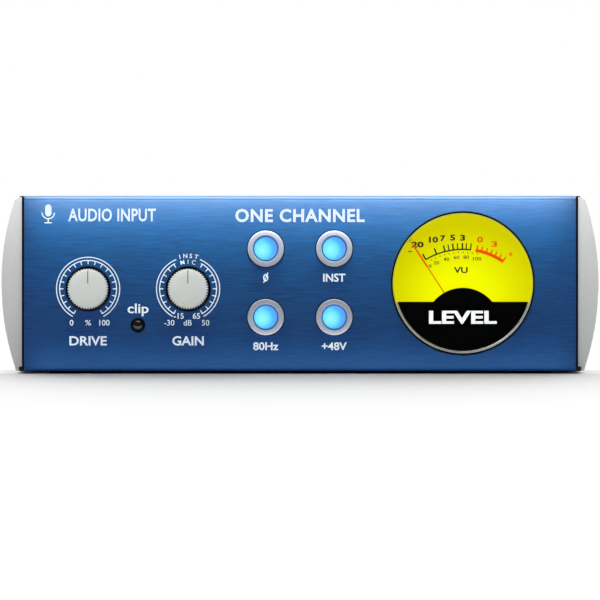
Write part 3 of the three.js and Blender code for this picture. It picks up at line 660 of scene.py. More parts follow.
def heading(ink):
    """What the unit is, in plain words and a microphone, along the panel's upper edge."""
    top = PANEL_HIGH.z
    ink.text("AUDIO INPUT", -47.2, top - 4.75, 3.0, 22.0, 0.02, spacing=1.05)
    ink.text("ONE CHANNEL", 0, top - 4.9, 3.0, 32.5, 0.03, spacing=1.1)
    x, z, stroke = -63.2, top - 3.6, 0.32
    capsule = rectangle(x - 0.8, z - 1.5, x + 0.8, z + 1.5, 0.75)
    ink.parts.append(drawn(capsule, ink.y1, ink.y0))
    ink.arc(x, z - 0.55, 1.55, 90, 270, stroke)
    ink.line([(x, z - 2.1), (x, z - 3.1)], stroke)
    ink.line([(x - 0.95, z - 3.1), (x + 0.95, z - 3.1)], stroke)


# ---- Enclosure ----


def front_panel():
    """The folded blue sheet with its round openings."""
    thickness, upper_bend, lower_bend, inner_bend = 1.5, 1.25, 0.8, 0.3
    back, low, high = PANEL_HIGH.y, PANEL_LOW.z, PANEL_HIGH.z
    inner = FRONT + thickness
    inside = [(inner, low + thickness, inner_bend), (inner, high - thickness, inner_bend)]
    outside = [(back, high), (FRONT, high, upper_bend), (FRONT, low, lower_bend)]
    section = [(back, low), (back, low + thickness), *inside, (back, high - thickness), *outside]
    panel = new_object("folded_panel", drawn(section, PANEL_LOW.x, PANEL_HIGH.x, "x"))

    def hole(node, radius, segments=96):
        return rod(radius, FRONT - 1, FRONT + 3, axis_at(centre(node)), segments)

    holes = [hole(name + "_knob", 5.65) for name in KNOBS]
    holes += [hole(name + "_button_cap", 4.75) for name in BUTTONS]
    holes += [hole("clip_led", 1.8, 48), hole("meter_lens", 18.05, 160)]
    boolean(panel, holes)
    soften(panel, 0.12)
    finished(panel, BLUE_PANEL, ["front_panel"])


def cheek(name, side):
    """A D-shaped end cheek with rounded edges and a lip in front of the side wall."""
    low, high = corners(name)
    lip, outer = (low.x, high.x) if side > 0 else (high.x, low.x)
    inner = side * (CASE_SIDE + 0.1)
    half = (high.z - low.z) / 2
    middle = (high.z + low.z) / 2
    edge_width, step_down = 0.8, 0.6
    rise = abs(outer - inner) - edge_width
    radius = (half * half + rise * rise) / (2 * rise)
    top = high.z - step_down
    start, end = -math.asin(half / radius), math.asin((top - middle) / radius)
    steps = 48
    arc = []
    for k in range(steps + 1):
        angle = start + (end - start) * k / steps
        x = outer - side * radius * (1 - math.cos(angle))
        arc.append((x, middle + radius * math.sin(angle)))
    outline = [(inner, low.z), *arc, (inner, top)]
    made = new_object(name + "_moulding", drawn(outline, low.y, high.y))
    soften(made, 0.4, 4, 40)
    x0, x1 = sorted((lip, inner + side * 0.4))
    lip_depth, below, above = 1.1, 1.2, 0.35
    lip_block = block((x0, low.y, low.z + below), (x1, low.y + lip_depth, top + above))
    boolean(made, [lip_block], "UNION")
    soften(made, 0.14, 2, 40)
    finished(made, CHEEK_PAINT, [name])


def pan_head(at, radius, height):
    """A screw head with a cross recess, on a face that looks along +Y."""
    profile = [(0, 0), (radius, 0), (radius, height * 0.5, height * 0.45), (0, height)]
    head = new_object("head", lathe(profile, 48, at))
    arm, width = radius * 0.62, radius * 0.2
    y0, y1 = at[1] + height * 0.35, at[1] + height + 1
    for a, b in ((arm, width), (width, arm)):
        boolean(head, [block((at[0] - a, y0, at[2] - b), (at[0] + a, y1, at[2] + b), width * 0.5)])
    part = part_of(head.data, MM)
    bpy.data.objects.remove(head, do_unlink=True)
    return part


def rear_screws():
    for corner in ("upper_left", "upper_right", "lower_left", "lower_right"):
        node = "rear_screw_" + corner
        at = centre(node)
        head = pan_head((at.x, REAR + 0.05, at.z), 2.7, 1.6)
        shank = rod(1.45, -6, 0.06, (at.x, REAR, at.z), 24, (0.3, 0))
        made = new_object(corner + "_screw", merged([head, shank]))
        finished(made, ZINC, [node])


def feet():
    """Round rubber pads with a hollow middle."""
    for corner in ("front_left", "front_right", "rear_left", "rear_right"):
        node = "foot_" + corner
        low, high = corners(node)
        at = (low + high) / 2
        radius, hollow, roof, edge = (high.x - low.x) / 2, 2.1, 0.2, 0.1
        ring = [(hollow + 0.2, 0, edge), (radius - 0.1, 0, edge), (radius, high.z, edge)]
        verts, faces = lathe([(0, roof), (hollow, roof, edge), *ring, (0, high.z)], 64)
        upright = [(at.x + x, at.y + z, y) for x, y, z in verts]
        made = new_object(corner + "_foot_pad", (upright, faces))
        finished(made, RUBBER, [node])


def top_cover():
    """The flat cover with rounded vent slots."""
    low, high = corners("top_cover")
    sheet = block((low.x, PANEL_HIGH.y + 0.3, high.z - 1), tuple(high), 0.4, "z")
    plate = new_object("vented_cover", sheet)
    count, pitch, width, length = 9, 5, 2, 34
    vents_x, vents_y = -28, 8
    slots = []
    for k in range(count):
        x = vents_x + (k - (count - 1) / 2) * pitch
        slot_low = (x - width / 2, vents_y - length / 2, high.z - 3)
        slot_high = (x + width / 2, vents_y + length / 2, high.z + 1)
        slots.append(block(slot_low, slot_high, 0.99, "z"))
    boolean(plate, slots)
    soften(plate, 0.2)
    finished(plate, CASE_PAINT, ["top_cover"])


# ---- Controls ----


def knob(name):
    """A fine-toothed knob with a printed line from the edge of its face."""
    node, body = name + "_knob", name + "_control"
    low, high = corners(node)
    at = centre(node)
    radius, reach = (high.x - low.x) / 2, low.y
    teeth, tooth = 46, 0.32
    skirt, flat, crown = radius - 0.25, radius - 0.5, 0.45
    skirt_top, bore, recess = high.y - 1.4, 3.1, reach + 1.4

    def toothed(r, y, angle):
        if r < radius - 0.2 or y > skirt_top - 0.05:
            return r
        across = abs(((angle * teeth / (2 * math.pi)) % 1) * 2 - 1)
        return r - tooth * min(1, max(0, 1.5 * across - 0.25))

    def face(r):
        """How deep the slightly domed face lies at a radius."""
        return reach + 0.02 + crown * (r / flat) ** 4

    crowned = [(flat * k / 8, face(flat * k / 8)) for k in range(9)]
    side = [(radius - 0.15, reach + 0.7), (radius, reach + 0.95), (radius, skirt_top - 0.1)]
    foot = [(skirt, skirt_top), (skirt, high.y, 0.2), (bore, high.y), (bore, recess), (0, recess)]
    profile = [*crowned, *side, *foot]
    made = new_object("toothed_" + node, lathe(profile, teeth * 12, axis_at(at), toothed))
    finished(made, KNOB_PAINT, [node], body, 25)
    start, steps, half_width = 1.4, 6, 0.11
    along = [start + (flat - start) * k / steps for k in range(steps + 1)]
    upper = [(face(r) - 0.02, at.z + r) for r in along]
    lower = [(face(r) + 0.1, at.z + r) for r in reversed(along)]
    fill = drawn([*upper, *lower], at.x - half_width, at.x + half_width, "x")
    finished(new_object("pointer_line_" + name, fill), POINTER_GREY, body=body)


def button(name):
    """A ring-shaped cap round a domed, lit lens."""
    cap_node, lens_node, body = name + "_button_cap", name + "_button_lens", name + "_button"
    low, high = corners(cap_node)
    at = centre(cap_node)
    radius, reach = (high.x - low.x) / 2, low.y
    bore, floor, back, stem = 3.15, reach + 4.4, reach + 6.2, 1.6
    rim = [(radius, reach + 0.05, 0.35), (bore + 0.22, reach, 0.15), (bore, reach + 0.5, 0.1)]
    profile = [(0, back), (radius, back), *rim, (bore, floor), (0, floor)]
    cap = new_object("ring_" + cap_node, lathe(profile, 96, axis_at(at)))
    boolean(cap, [block_about(at, stem, stem, back - 0.1, high.y, 0.3)], "UNION")
    finished(cap, RING_PAINT, [cap_node], body)
    edge, bulge, steps = 2.9, 0.75, 12
    dome = []
    for k in range(steps + 1):
        angle = math.radians(90 * k / steps)
        dome.append((edge * math.sin(angle), reach + 0.35 - bulge * math.cos(angle)))
    lens_back = floor - 0.2
    lens_profile = [*dome, (edge, lens_back), (0, lens_back)]
    lens = new_object("domed_" + lens_node, lathe(lens_profile, 64, axis_at(at)))
    glow = glowing_lens("glow_" + name, (at.x - 0.9, reach - 0.3, at.z - 0.3))
    finished(lens, glow, [lens_node], body)


def clip_lamp():
    """A small domed lamp in its collar."""
    back = corners("clip_led_holder")[1].y
    place = axis_at(centre("clip_led_holder"))
    inner, outer, face = 1.42, 1.72, FRONT - 0.1
    lip = [(inner, face + 0.2, 0.1), (inner + 0.08, face, 0.05), (outer, face, 0.1)]
    holder = new_object("lamp_collar", lathe([(inner, back), *lip, (outer, back)], 64, place))
    finished(holder, SHINY_BLACK, ["clip_led_holder"])
    radius, bulge = 1.4, 1.1
    spots = [math.sin(math.radians(a)) for a in range(0, 91, 6)]
    dome = [(radius * spot, face - bulge * math.sqrt(1 - spot**4)) for spot in spots]
    lamp_back = corners("clip_led")[1].y
    profile = [*dome, (radius, lamp_back), (0, lamp_back)]
    lamp = new_object("lamp_dome", lathe(profile, 48, place))
    finished(lamp, LED_DARK, ["clip_led"])


# ---- Level meter ----

SHADE_RING_RADIUS = 18.0
RIM_OUTER = 17.6
RIM_INNER = 17.3
CARD_RADIUS = 17.2
MASK_RADIUS = 16.85
MASK_LINE = -4.65  # the height of the mask's straight edge, from the meter's middle
MASK_EDGE = math.degrees(math.acos(MASK_LINE / MASK_RADIUS))  # where that edge meets its round one


def below_mask_line(radius):
    """Points round the meter, clockwise from one end of the mask's straight edge to the other."""
    sweep, steps = 360 - 2 * MASK_EDGE, 96
    turns = [MASK_EDGE + sweep * k / steps for k in range(steps + 1)]
    return [polar(METER.x, METER.z, radius, turn) for turn in turns]


def meter_window():
    """A clear window in a thin silver rim, inside a black ring of painted shade that fills the gap between
    the rim and the panel's opening.
    """
    back = corners("meter_lens")[1].y
    pane = rod(RIM_INNER - 0.03, FRONT - 1.15, FRONT + 0.1, METER_AXIS, 160, (0.6, 0))
    finished(new_object("meter_window", pane), LENS_CLEAR, ["meter_lens"])
    rim = tube(RIM_INNER, RIM_OUTER, FRONT - 0.75, back, METER_AXIS, 160, (0.12, 0.15, 0, 0))
    finished(new_object("meter_rim", rim), METER_RIM)
    fillets = (0.08, 0.08, 0, 0)
    # Painted shade: a black ring where the gap round the rim shows only shadow.
    bezel = tube(RIM_OUTER + 0.03, SHADE_RING_RADIUS, FRONT + 0.2, FRONT + 3, METER_AXIS, 160, fillets)
    finished(new_object("meter_shade_ring", bezel), SHINY_BLACK)
    # The lower half of the rim's inner wall shows round the black cover.
    inner, outer = MASK_RADIUS + 0.05, RIM_INNER - 0.05
    verts = []
    for radius, y in ((inner, 0.3), (outer, 0.15), (outer, 3), (inner, 3)):
        verts += [(x, FRONT + y, z) for x, z in below_mask_line(radius)]
    count = len(verts) // 4
    steps = count - 1
    faces = [tuple(side * count + end for side in range(4)) for end in (0, steps)]
    for side in range(4):
        a, b = side * count, (side + 1) % 4 * count
        faces += [(a + k, a + k + 1, b + k + 1, b + k) for k in range(steps)]
    finished(new_object("meter_rim_wall", (verts, faces)), METER_RIM)


def meter_face():
    """The lit card and what is printed on it."""
    low, high = corners("meter_dial")
    disc = rod(CARD_RADIUS, low.y, high.y, METER_AXIS, 128, (0.08, 0.08))
    card = new_object("meter_card", disc)
    notch_low = (METER.x - 5, low.y - 1, METER.z - 20)
    boolean(card, [block(notch_low, (METER.x + 5, high.y + 1, METER.z - 4.4), 0.5)])
    finished(card, DIAL_GLOW, ["meter_dial"])
    black, red = Ink(low.y), Ink(low.y)
    decibel_scale(black, red)
    percent_scale(black)
    black.text("VU", METER.x - 0.5, METER.z + 3.3, 1.4, 3.5, 0.03)
    sign, x, z = 0.26, METER.x + 12.05, METER.z + 7.3
    black.line([(METER.x - 13.7, METER.z + 8.0), (METER.x - 12.8, METER.z + 7.9)], sign)
    red.line([(x - 0.5, z), (x + 0.5, z)], sign)
    red.line([(x, z - 0.5), (x, z + 0.5)], sign)
    black.made("meter_scale", BLACK_INK, "black_plastic")
    red.made("meter_red_scale", RED_GLOWING_PAINT, "pointer_red")


def decibel_scale(black, red):
    """A volume scale: black up to its reference level, red past it."""
    x, z, arc = PIVOT.x, PIVOT.z, 18.1
    heavy, light = 0.40, 0.30
    # The degrees at which each mark stands.
    marks = {20: -30.8, 10: -21.3, 7: -14.3, 6: -10.9, 5: -7.5, 4: -4.0, 3: -0.3, 2: 2.7, 1: 6.2}
    # Each number's radius, turn from its mark, and width.
    numbers = {
        20: (22.4, 0.3, 3.1),
        10: (21.8, 1.6, 2.3),
        7: (21.5, 0.8, 1.3),
        5: (21.2, 0.6, 1.3),
        3: (21.0, 0.2, 1.3),
    }
    black.arc(x, z, arc, marks[20], marks[1] + 0.5, 0.36)
    for mark, degrees in marks.items():
        black.tick(x, z, arc - 0.1, arc + 1.6, degrees, heavy if mark in numbers else light)
    for mark, (radius, turn, width) in numbers.items():
        black.text(str(mark), *polar(x, z, radius, marks[mark] + turn), 1.3, width, 0.042)
    first, last, red_ticks = 11.2, 33.8, 7
    red.arc(x, z, arc + 0.05, first - 1, last + 0.4, 0.8)
    for k in range(red_ticks):
        red.tick(x, z, arc, arc + 1.4, first + (last - first) * k / (red_ticks - 1), 0.34)
    for text, degrees in (("0", 11.9), ("3", 22.2)):
        red.text(text, *polar(x, z, 21.0, degrees), 1.35, 1.5, 0.03)


def percent_scale(black):
    """Small figures and dots under the decibel scale."""
    x, z = PIVOT.x, PIVOT.z
    percents = {"0": -30.5, "20": -24.3, "40": -14.7, "60": -5.6, "80": 3.0, "100": 12.9}
    for text, degrees in percents.items():
        black.text(text, *polar(x, z, 16.15, degrees), 0.8, 0.7 * len(text), 0.012)
    first, span, dots = -27, 39, 11
    for k in range(dots):
        black.tick(x, z, 17.2, 17.45, first + span * k / (dots - 1), 0.25)


def meter_mask():
    """The polished black cover over the meter's lower part, with a round hump over the pivot."""
    low, high = corners("meter_mask")
    drop, radius, steps = 10.7, 9.55, 40
    shoulder = math.degrees(math.acos((MASK_LINE + drop) / radius))
    turns = [shoulder * (1 - 2 * k / steps) for k in range(steps + 1)]
    hump = [polar(METER.x, METER.z - drop, radius, turn) for turn in turns]
    outline = [*hump, *reversed(below_mask_line(MASK_RADIUS))]
    made = new_object("meter_lower_cover", drawn(outline, low.y, high.y))
    soften(made, 0.1, 2, 40)
    finished(made, GLOSS_BLACK, ["meter_mask"])
    ink = Ink(low.y)
    ink.text("LEVEL", METER.x, METER.z - 8.55, 3.0, 17.0, bold=0.03)
    ink.made("meter_name", GLOWING_LABEL_INK, "white_plastic")


def meter_pointer():
    """The thin pointer, wider towards its tip, on its hub."""
    low, high = corners("meter_pointer")
    y0, y1 = low.y + 0.2, low.y + 0.6
    x, z, length, neck = PIVOT.x, PIVOT.z, 23.2, 16
    right = [(0.15, 0), (0.13, neck), (0.22, neck + 0.6), (0.2, length - 0.3)]
    left = [(-across, up) for across, up in reversed(right)]
    outline = [(x + across, z + up) for across, up in [*right, (0, length), *left]]
    blade = drawn(outline, y0, y1)
    hub = rod(1.3, low.y, high.y, axis_at(PIVOT), 32, (0.2, 0))
    tail_end = z - 4.2
    tail_outline = [(x - 0.3, z), (x - 0.9, tail_end, 0.3), (x + 0.9, tail_end, 0.3), (x + 0.3, z)]
    tail = drawn(tail_outline, y0, y1)
    swing = Matrix.Rotation(math.radians(NEEDLE_REST), 4, "Y")
    at_rest = Matrix.Translation(PIVOT) @ swing @ Matrix.Translation(-PIVOT)
    made = new_object("needle_blade", moved(merged([blade, hub, tail]), at_rest))
    # The needle's red glow is painted light.
    finished(made, RED_GLOWING_PAINT, ["meter_pointer"], "needle")


# ---- Rear ----

PIN_PLACES = ((-3.9, 2.2), (3.9, 2.2), (0, -4.2))  # from the middle of an XLR


def rear_plate():
    """The rear panel with an opening for each socket and the switch."""
    plate = new_object("drilled_rear_panel", block(tuple(REAR_LOW), tuple(REAR_HIGH), 0.5))
    y0, y1 = REAR - 3, REAR + 1
    xlr_hole, jack_hole, inlet_hole = 12.2, 6.0, 4.8
    mic, switch = centre("mic_xlr_core"), centre("power_switch_frame")
    holes = [rod(xlr_hole, y0, y1, axis_at(at)) for at in (mic, centre("line_xlr_pins"))]
    small = {"instrument_jack": jack_hole, "line_jack": jack_hole, "power_inlet": inlet_hole}
    for node, radius in small.items():
        holes.append(rod(radius, y0, y1, (centre(node).x, 0, JACK_Z)))
    holes.append(block_about(switch, 6.6, 9.6, y0, y1, 0.6))
    boolean(plate, holes)
    latch_notch = block((mic.x - 5.2, y0, mic.z + 8), (mic.x + 5.2, y1, mic.z + 14.8), 0.6)
    boolean(plate, [latch_notch])
    soften(plate, 0.1)
    finished(plate, CASE_PAINT, ["rear_panel"])


def flange_screw_places(at):
    """Two opposite corners of a flange, as (x, z)."""
    across, up = 9.6, 12
    return (at.x + across, at.z - up), (at.x - across, at.z + up)


def xlr_shell(name, at, barrel_radius, barrel_depth):
    """A flange with rounded corners, with a barrel behind it."""
    half_width, half_height, corner = 13, 15.4, 2.0
    flange = block_about(at, half_width, half_height, REAR + 0.1, FLANGE_FACE, corner)
    shell = new_object(name, flange)
    barrel = rod(barrel_radius, REAR - barrel_depth, REAR + 0.6, axis_at(at), 96, (0.4, 0))
    boolean(shell, [barrel], "UNION")
    return shell


def bore_shell(shell, at, radius, depth):
    """Opens the barrel and countersinks the flange's screw holes."""
    face, hole, sink, seat = FLANGE_FACE, 1.5, 2.6, FLANGE_FACE - 0.3
    profile = [(0, face - 6), (hole, face - 6), (hole, seat), (sink, seat), (sink, face + 1), (0, face + 1)]
    sinks = [lathe(profile, 32, (x, 0, z)) for x, z in flange_screw_places(at)]
    boolean(shell, [rod(radius, REAR - depth, face + 2, axis_at(at), 96), *sinks])


def flange_screws(name, at):
    parts = []
    for x, z in flange_screw_places(at):
        seat = (x, FLANGE_FACE - 0.25, z)
        parts += [pan_head(seat, 2.5, 1.2), rod(1.4, -5, 0.05, seat, 24, (0.3, 0))]
    finished(new_object(name, merged(parts)), BLACK_ZINC)


def microphone_socket():
    """A female XLR socket with its latch tab."""
    at, face = centre("mic_xlr_core"), FLANGE_FACE
    barrel, bore, rim_foot, rim_top = 11.9, 9.6, 11.4, 11.1
    shell = xlr_shell("mic_socket_shell", at, barrel, 18)
    root, crest = face - 0.5, face + 0.7
    rim = [(bore, root), (rim_foot, root), (rim_top, crest, 0.2), (bore, crest, 0.2)]
    boolean(shell, [lathe(rim, 96, axis_at(at))], "UNION")
    bore_shell(shell, at, bore, 13.2)
    # A wide slot for the latch tab, then a narrow one for its hook.
    for half, low, high, fillet in ((4.8, 10.6, 14.4, 0.5), (2.2, 8, 11.1, 0)):
        slot_low, slot_high = (at.x - half, REAR - 8, at.z + low), (at.x + half, face + 2, at.z + high)
        boolean(shell, [block(slot_low, slot_high, fillet)])
    soften(shell, 0.15)
    finished(shell, BLACK, ["mic_xlr_shell"])

    low, high = corners("mic_xlr_core")
    radius, hole, mouth = 7.7, 1.2, 1.7
    core = new_object("mic_socket_core", rod(radius, low.y, high.y, axis_at(at), 96, (0.2, 0.35)))
    holes = []
    for x, z in PIN_PLACES:
        place = (at.x + x, 0, at.z + z)
        holes.append(flared_bore(hole, mouth, REAR - 8, high.y - 0.5, high.y + 0.01, place, 32))
    boolean(core, holes)
    finished(core, BLACK, ["mic_xlr_core"])
    latch_tab(at)
    flange_screws("mic_socket_screws", at)


def latch_tab(at):
    """The grooved release tab over the microphone socket, with its hook."""
    low, high = corners("mic_xlr_latch")
    z0, z1 = at.z + 11, at.z + 14
    tab = new_object("mic_latch_tab", block((low.x, low.y, z0), (high.x, high.y, z1), 0.5))
    hook = block((at.x - 1.6, low.y, low.z), (at.x + 1.6, low.y + 1.6, z0 + 0.5), 0.2)
    boolean(tab, [hook], "UNION")
    count, pitch, width, depth = 3, 0.66, 0.28, 0.25
    grooves = []
    for k in range(count):
        z = z0 + 0.7 + pitch * k
        grooves.append(block((low.x - 1, high.y - depth, z), (high.x + 1, high.y + 1, z + width)))
    boolean(tab, grooves)
    soften(tab, 0.12)
    finished(tab, NICKEL, ["mic_xlr_latch"], "latch")


def line_socket():
    """A male XLR socket with three pins."""
    at = centre("line_xlr_pins")
    barrel, bore, pin = 11.2, 8.3, 1.2
    shell = xlr_shell("line_socket_shell", at, barrel, 14)
    bore_shell(shell, at, bore, 12)
    keyway_high = (at.x + 1.3, FLANGE_FACE + 1, at.z + 9.3)
    boolean(shell, [block((at.x - 1.3, REAR - 10, at.z + 7.5), keyway_high)])
    soften(shell, 0.15)
    finished(shell, BLACK, ["line_xlr_shell"])
    low, high = corners("line_xlr_pins")
    floor = rod(bore - 0.1, low.y, REAR - 10, axis_at(at), 64, (0, 0.2))
    finished(new_object("line_socket_floor", floor), BLACK)
    places = [(at.x + x, 0, at.z + z) for x, z in PIN_PLACES]
    pins = [rod(pin, REAR - 10.4, high.y, place, 32, (0, 0.7)) for place in places]
    finished(new_object("line_socket_pins", merged(pins)), NICKEL, ["line_xlr_pins"])
    flange_screws("line_socket_screws", at)


def jack(name):
    """A quarter-inch jack: black housing inside, threaded bushing, nut and washer outside."""
    low, high = corners(name)
    place = (centre(name).x, 0, JACK_Z)
    housing = new_object(name + "_housing", block(tuple(low), (high.x, REAR - 1.3, high.z), 0.6))
    root, crest, pitch, y = 5.5, 5.8, 0.7, REAR - 3
    thread = []
    while y < high.y - 0.8:
        thread += [(root, y), (crest, y + 0.25), (crest, y + 0.35), (root, y + 0.6)]
        y += pitch
    bushing = [(0, REAR - 4), (root, REAR - 4), *thread, (root, high.y, 0.2), (0, high.y)]
    boolean(housing, [lathe(bushing, 64, place)], "UNION")
    bore, mouth, depth = 3.24, 3.7, 24.5
    boolean(housing, [flared_bore(bore, mouth, REAR - depth, high.y - 0.4, high.y + 0.05, place)])
    finished(housing, BLACK, [name])
    across_flats = 14
    hexagon = [polar(place[0], JACK_Z, across_flats / math.sqrt(3), 90 - 60 * k) for k in range(6)]
    nut = new_object(name + "_nut", drawn(hexagon, REAR + 0.75, REAR + 3.0))
    boolean(nut, [rod(5.9, REAR, REAR + 4, place)])
    soften(nut, 0.35, 3)
    finished(nut, NICKEL)
    washer = tube(6.0, 8.6, REAR + 0.05, REAR + 0.7, place, 96, (0.1, 0.1, 0.15, 0.1))
    finished(new_object(name + "_washer", washer), ZINC)


def power_inlet():
    """A coaxial power inlet with its centre pin."""
    low, high = corners("power_inlet")
    place = (centre("power_inlet").x, 0, JACK_Z)
    sleeve, bore, mouth, pin = 4.6, 3.0, 3.3, 0.98
    made = new_object("inlet_housing", block(tuple(low), (high.x, REAR - 1.3, high.z), 0.4))
    boolean(made, [rod(sleeve, REAR - 4, high.y, place, 64, (0, 0.3))], "UNION")
    boolean(made, [flared_bore(bore, mouth, REAR - 10, high.y - 0.3, high.y + 0.02, place)])
    finished(made, BLACK, ["power_inlet"])
    shank = rod(pin, REAR - 10.2, REAR - 0.4, place, 32, (0, 0.35))
    finished(new_object("inlet_pin", shank), NICKEL)


def power_switch():
    """The switch's bezel, and the rocker in it."""
    low, high = corners("power_switch_frame")
    at = centre("power_switch_frame")
    frame_low, frame_high = (low.x, REAR + 0.1, low.z), (high.x, REAR + 1.3, high.z)
    bezel = new_object("switch_bezel", block(frame_low, frame_high, 1.0))
    boolean(bezel, [block_about(at, 6.4, 9.4, low.y, REAR + 0.5, 0.3)], "UNION")
    boolean(bezel, [block_about(at, 5.2, 8, REAR - 12, REAR + 3, 0.3)])
    soften(bezel, 0.2)
    finished(bezel, BLACK, ["power_switch_frame"])
    rocker(Vector((at.x, REAR - 2.5, at.z)))


def rocker(pivot):
    """A key with two slopes and a round back, tilted about its pivot, with a mark on each slope."""
    radius, tilt, half_width, steps = 7.74, math.radians(7), 4.9, 10
    tip, rear_angle = math.atan2(6.3, 4.5), math.acos(-3 / radius)
    turns = [tip + (rear_angle - tip) * k / steps for k in range(steps + 1)]
    upper = [(radius * math.cos(a), radius * math.sin(a)) for a in turns]
    outline = [(2.4, 0, 6), *upper, *[(y, -z) for y, z in reversed(upper)]]
    key = new_object("rocker_key", drawn(outline, -half_width, half_width, "x"))
    soften(key, 0.3, 3, 30)
    turn = Matrix.Translation(pivot * MM) @ Matrix.Rotation(tilt, 4, "X")
    key.data.transform(turn)
    finished(key, BLACK, ["power_rocker"], "rocker")

    slope = math.atan2(2.1, 6.3)
    marks = Ink(0, back=True)
    marks.line([(0, -1.1), (0, 1.1)], 0.5)
    marks.arc(0, 0, 1.05, 0, 360, 0.4)
    placed = []
    for part, up in zip(marks.parts, (1, -1)):
        onto = Matrix.Translation((0, 3.52, up * 3.5)) @ Matrix.Rotation(-up * slope, 4, "X")
        placed.append(moved(part, onto))
    printed = new_object("rocker_marks", merged(placed))
    printed.data.transform(turn)
    finished(printed, GLOWING_WHITE_INK, body="rocker")


def rear_print():
    """Generic names for the sockets and the switch."""
    ink = Ink(REAR, back=True)
    switch_z = centre("power_switch_frame").z
    for text, node, z, height in (
        ("MIC IN", "mic_xlr_core", 4.9, 1.8),
        ("LINE OUT", "line_xlr_pins", 4.9, 1.8),
        ("INST IN", "instrument_jack", JACK_Z + 11, 1.6),
        ("LINE OUT", "line_jack", JACK_Z + 11, 1.6),
        ("POWER", "power_inlet", JACK_Z + 11, 1.6),
        ("16V", "power_inlet", JACK_Z - 8, 1.6),
        ("ON", "power_switch_frame", switch_z + 13, 1.6),
        ("OFF", "power_switch_frame", switch_z - 13, 1.6),
    ):
        ink.text(text, centre(node).x, z, height, bold=0.01)
    ink.made("rear_print", GLOWING_WHITE_INK, "white_plastic")


def paint_inside():
    """Materials for the CAD nodes that stay."""
    for material, names in (
        (CASE_PAINT, ["bottom_chassis"]),
        (BOARD, ["control_board", "main_board"]),
        (ZINC, ["tube_electrodes", "heat_sink", "meter_magnet"]),
        (BLACK_ZINC, ["drive_pot_body", "gain_pot_body"]),
        (NICKEL, ["drive_pot_shaft", "gain_pot_shaft"]),
        (BLACK, [name + "_switch_body" for name in BUTTONS]),
        (BLACK, ["filter_capacitor_left", "filter_capacitor_right"]),
        (WHITE, ["meter_case"]),
        (COPPER, ["meter_coil"]),
        (TUBE_GLASS, ["tube_envelope"]),
        (CERAMIC, ["tube_socket"]),
        (RIBBON, ["ribbon_cable"]),
    ):
        for name in names:
            materials = frame["nodes"][name].data.materials
            materials.clear()
            materials.append(material)


# ---- Studio ----

PANEL = ("folded_panel",)
CHEEKS = ("left_cheek", "right_cheek")
RINGS = ("ring_",)
KEY_LIT = ("toothed_", "pointer_line", "domed_", "lamp_collar", "meter_window", "meter_rim", "panel_print")
DIM_SKY, BRIGHT_SKY = 0.13, 2.08
SKY_PEAK = Vector((0, 0.8, 0.6))


def paper_floor():
    """A white sweep that falls away gently in front of the unit."""
    reach, edge, fall = 5000, FRONT - 1, math.tan(math.radians(4))
    sections = [(reach, 0), (edge, 0), (-reach, -(reach + edge) * fall)]
    verts = [(x, y, z) for y, z in sections for x in (-reach, reach)]
    floor = new_object("floor", (verts, [(0, 1, 3, 2), (2, 3, 5, 4)]))
    paper = Surface("paper", (0.9, 0.9, 0.9), 0.9)
    floor.data.materials.append(paper.vary_color(paper.noise(300), 0.01).material)


def sky():
    """White to look at. As a light it is brightest above and behind the unit, and dim in front."""
    world = bpy.data.worlds.new("studio")
    bpy.context.scene.world = world
    world.use_nodes = True
    nodes, links = world.node_tree.nodes, world.node_tree.links
    seen = nodes["Background"]
    kinds = ("Background", "TexCoord", "VectorMath", "MapRange", "LightPath", "MixShader")
    lighting, place, toward, span, path, mix = (nodes.new("ShaderNode" + kind) for kind in kinds)
    seen.inputs["Color"].default_value = (1, 1, 1, 1)
    lighting.inputs["Color"].default_value = (1, 1, 1, 1)
    toward.operation = "DOT_PRODUCT"
    toward.inputs[1].default_value = SKY_PEAK
    span.interpolation_type = "SMOOTHSTEP"
    limits = {"From Min": -0.1, "From Max": 0.9, "To Min": DIM_SKY, "To Max": BRIGHT_SKY}
    for socket, limit in limits.items():
        span.inputs[socket].default_value = limit
    links.new(place.outputs["Generated"], toward.inputs[0])
    links.new(toward.outputs["Value"], span.inputs["Value"])
    links.new(span.outputs["Result"], lighting.inputs["Strength"])
    links.new(path.outputs["Is Camera Ray"], mix.inputs[0])
    links.new(lighting.outputs[0], mix.inputs[1])
    links.new(seen.outputs[0], mix.inputs[2])
    links.new(mix.outputs[0], nodes["World Output"].inputs["Surface"])


def accent(name, lit, target, offset, size, watts, spread=180, color=(1, 1, 1)):
    """A light at an offset from its target, shielded from all but the pieces whose names start so."""
    data = bpy.data.lights.new(name, "AREA")
    data.shape = "RECTANGLE"
    data.size, data.size_y = (side * MM for side in size)
    data.energy = watts
    data.spread = math.radians(spread)
    data.color = color
    away = Vector(offset) * MM
    light = bpy.data.objects.new(name, data)
    light.location = target * MM + away
    light.rotation_mode = "QUATERNION"
    light.rotation_quaternion = (-away).to_track_quat("-Z", "Y")
    light.visible_camera = False
    bpy.context.scene.collection.objects.link(light)
    shielded = bpy.data.collections.new("lit_by_" + name)
    for obj in bpy.context.scene.objects:
        if obj.name.startswith(lit):
            shielded.objects.link(obj)
    light.light_linking.receiver_collection = shielded


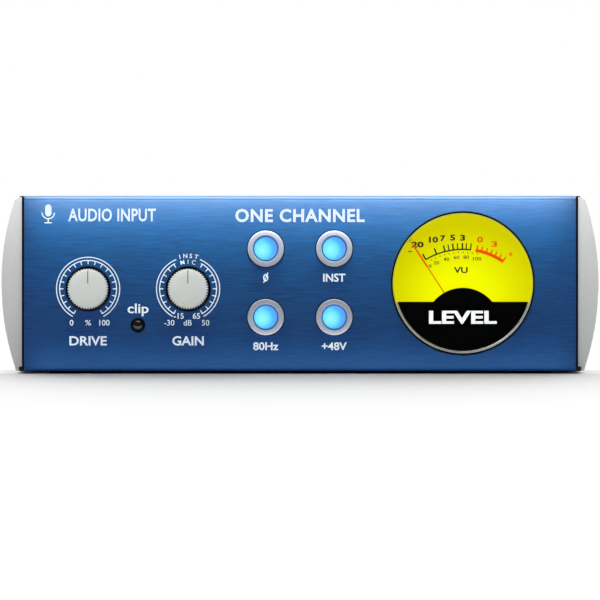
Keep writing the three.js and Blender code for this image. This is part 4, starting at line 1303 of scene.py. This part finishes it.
def accent_lights():
    """Strips along the panel's edges, and softboxes for the small parts."""
    top = Vector((0, FRONT, PANEL_HIGH.z))
    low = Vector((0, FRONT, PANEL_LOW.z))
    middle = (top + low) / 2
    amber, orange, cyan, cool = (1.0, 0.76, 0.50), (1.0, 0.60, 0.26), (0.45, 0.95, 1.0), (0.90, 0.95, 1.0)
    accent("panel_strip", PANEL, top, (0, -24, 4), (137, 6), 0.0195, 100, amber)
    accent("edge_strip", PANEL, top, (0, -4, 30), (139, 32), 0.19, 180, orange)
    accent("low_strip", PANEL, low + Vector((0, 0, 1)), (0, -18, 0.5), (136, 4), 0.0007, 70, cyan)
    accent("cheek_strip", CHEEKS, top, (0, -22, 12), (155, 6), 0.023)
    accent("ring_strip", RINGS, top, (0, -8, 2), (137, 6), 0.052, 180, cool)
    accent("low_ring_strip", RINGS, low + Vector((0, 0, 8)), (0, -8, -5), (137, 4), 0.0092)
    accent("lamp_box", ("lamp_dome",), centre("clip_led"), (0, -50, 50), (40, 12), 0.035)
    accent("knob_box", ("toothed_",), middle, (0, -100, 220), (200, 80), 0.22)
    accent("key", KEY_LIT, middle, (-280, -620, 520), (300, 300), 1.75)


def camera():
    """Straight on, from far away, with the picture's width about as wide as the unit."""
    distance, picture_width, aim_drop, rise = 6.0, 0.15064, 0.0041, math.radians(0.28)
    data = bpy.data.cameras.new("camera")
    data.sensor_width = 36
    data.lens = data.sensor_width * distance / picture_width
    data.clip_end = 100
    eye = bpy.data.objects.new("camera", data)
    middle_z = (PANEL_LOW.z + PANEL_HIGH.z) / 2 * MM
    back = Vector((0, -math.cos(rise), math.sin(rise)))
    eye.location = Vector((0, FRONT * MM, middle_z - aim_drop)) + back * distance
    eye.rotation_mode = "QUATERNION"
    eye.rotation_quaternion = (-back).to_track_quat("-Z", "Y")
    bpy.context.scene.collection.objects.link(eye)
    bpy.context.scene.camera = eye
    bpy.context.scene.view_settings.view_transform = "Standard"


camera()
paper_floor()
sky()
front_panel()
cheek("left_cheek", -1)
cheek("right_cheek", 1)
top_cover()
feet()
panel_print()
for control in KNOBS:
    knob(control)
for control in BUTTONS:
    button(control)
clip_lamp()
meter_window()
meter_face()
meter_mask()
meter_pointer()
rear_plate()
rear_screws()
microphone_socket()
line_socket()
jack("instrument_jack")
jack("line_jack")
power_inlet()
power_switch()
rear_print()
paint_inside()
accent_lights()
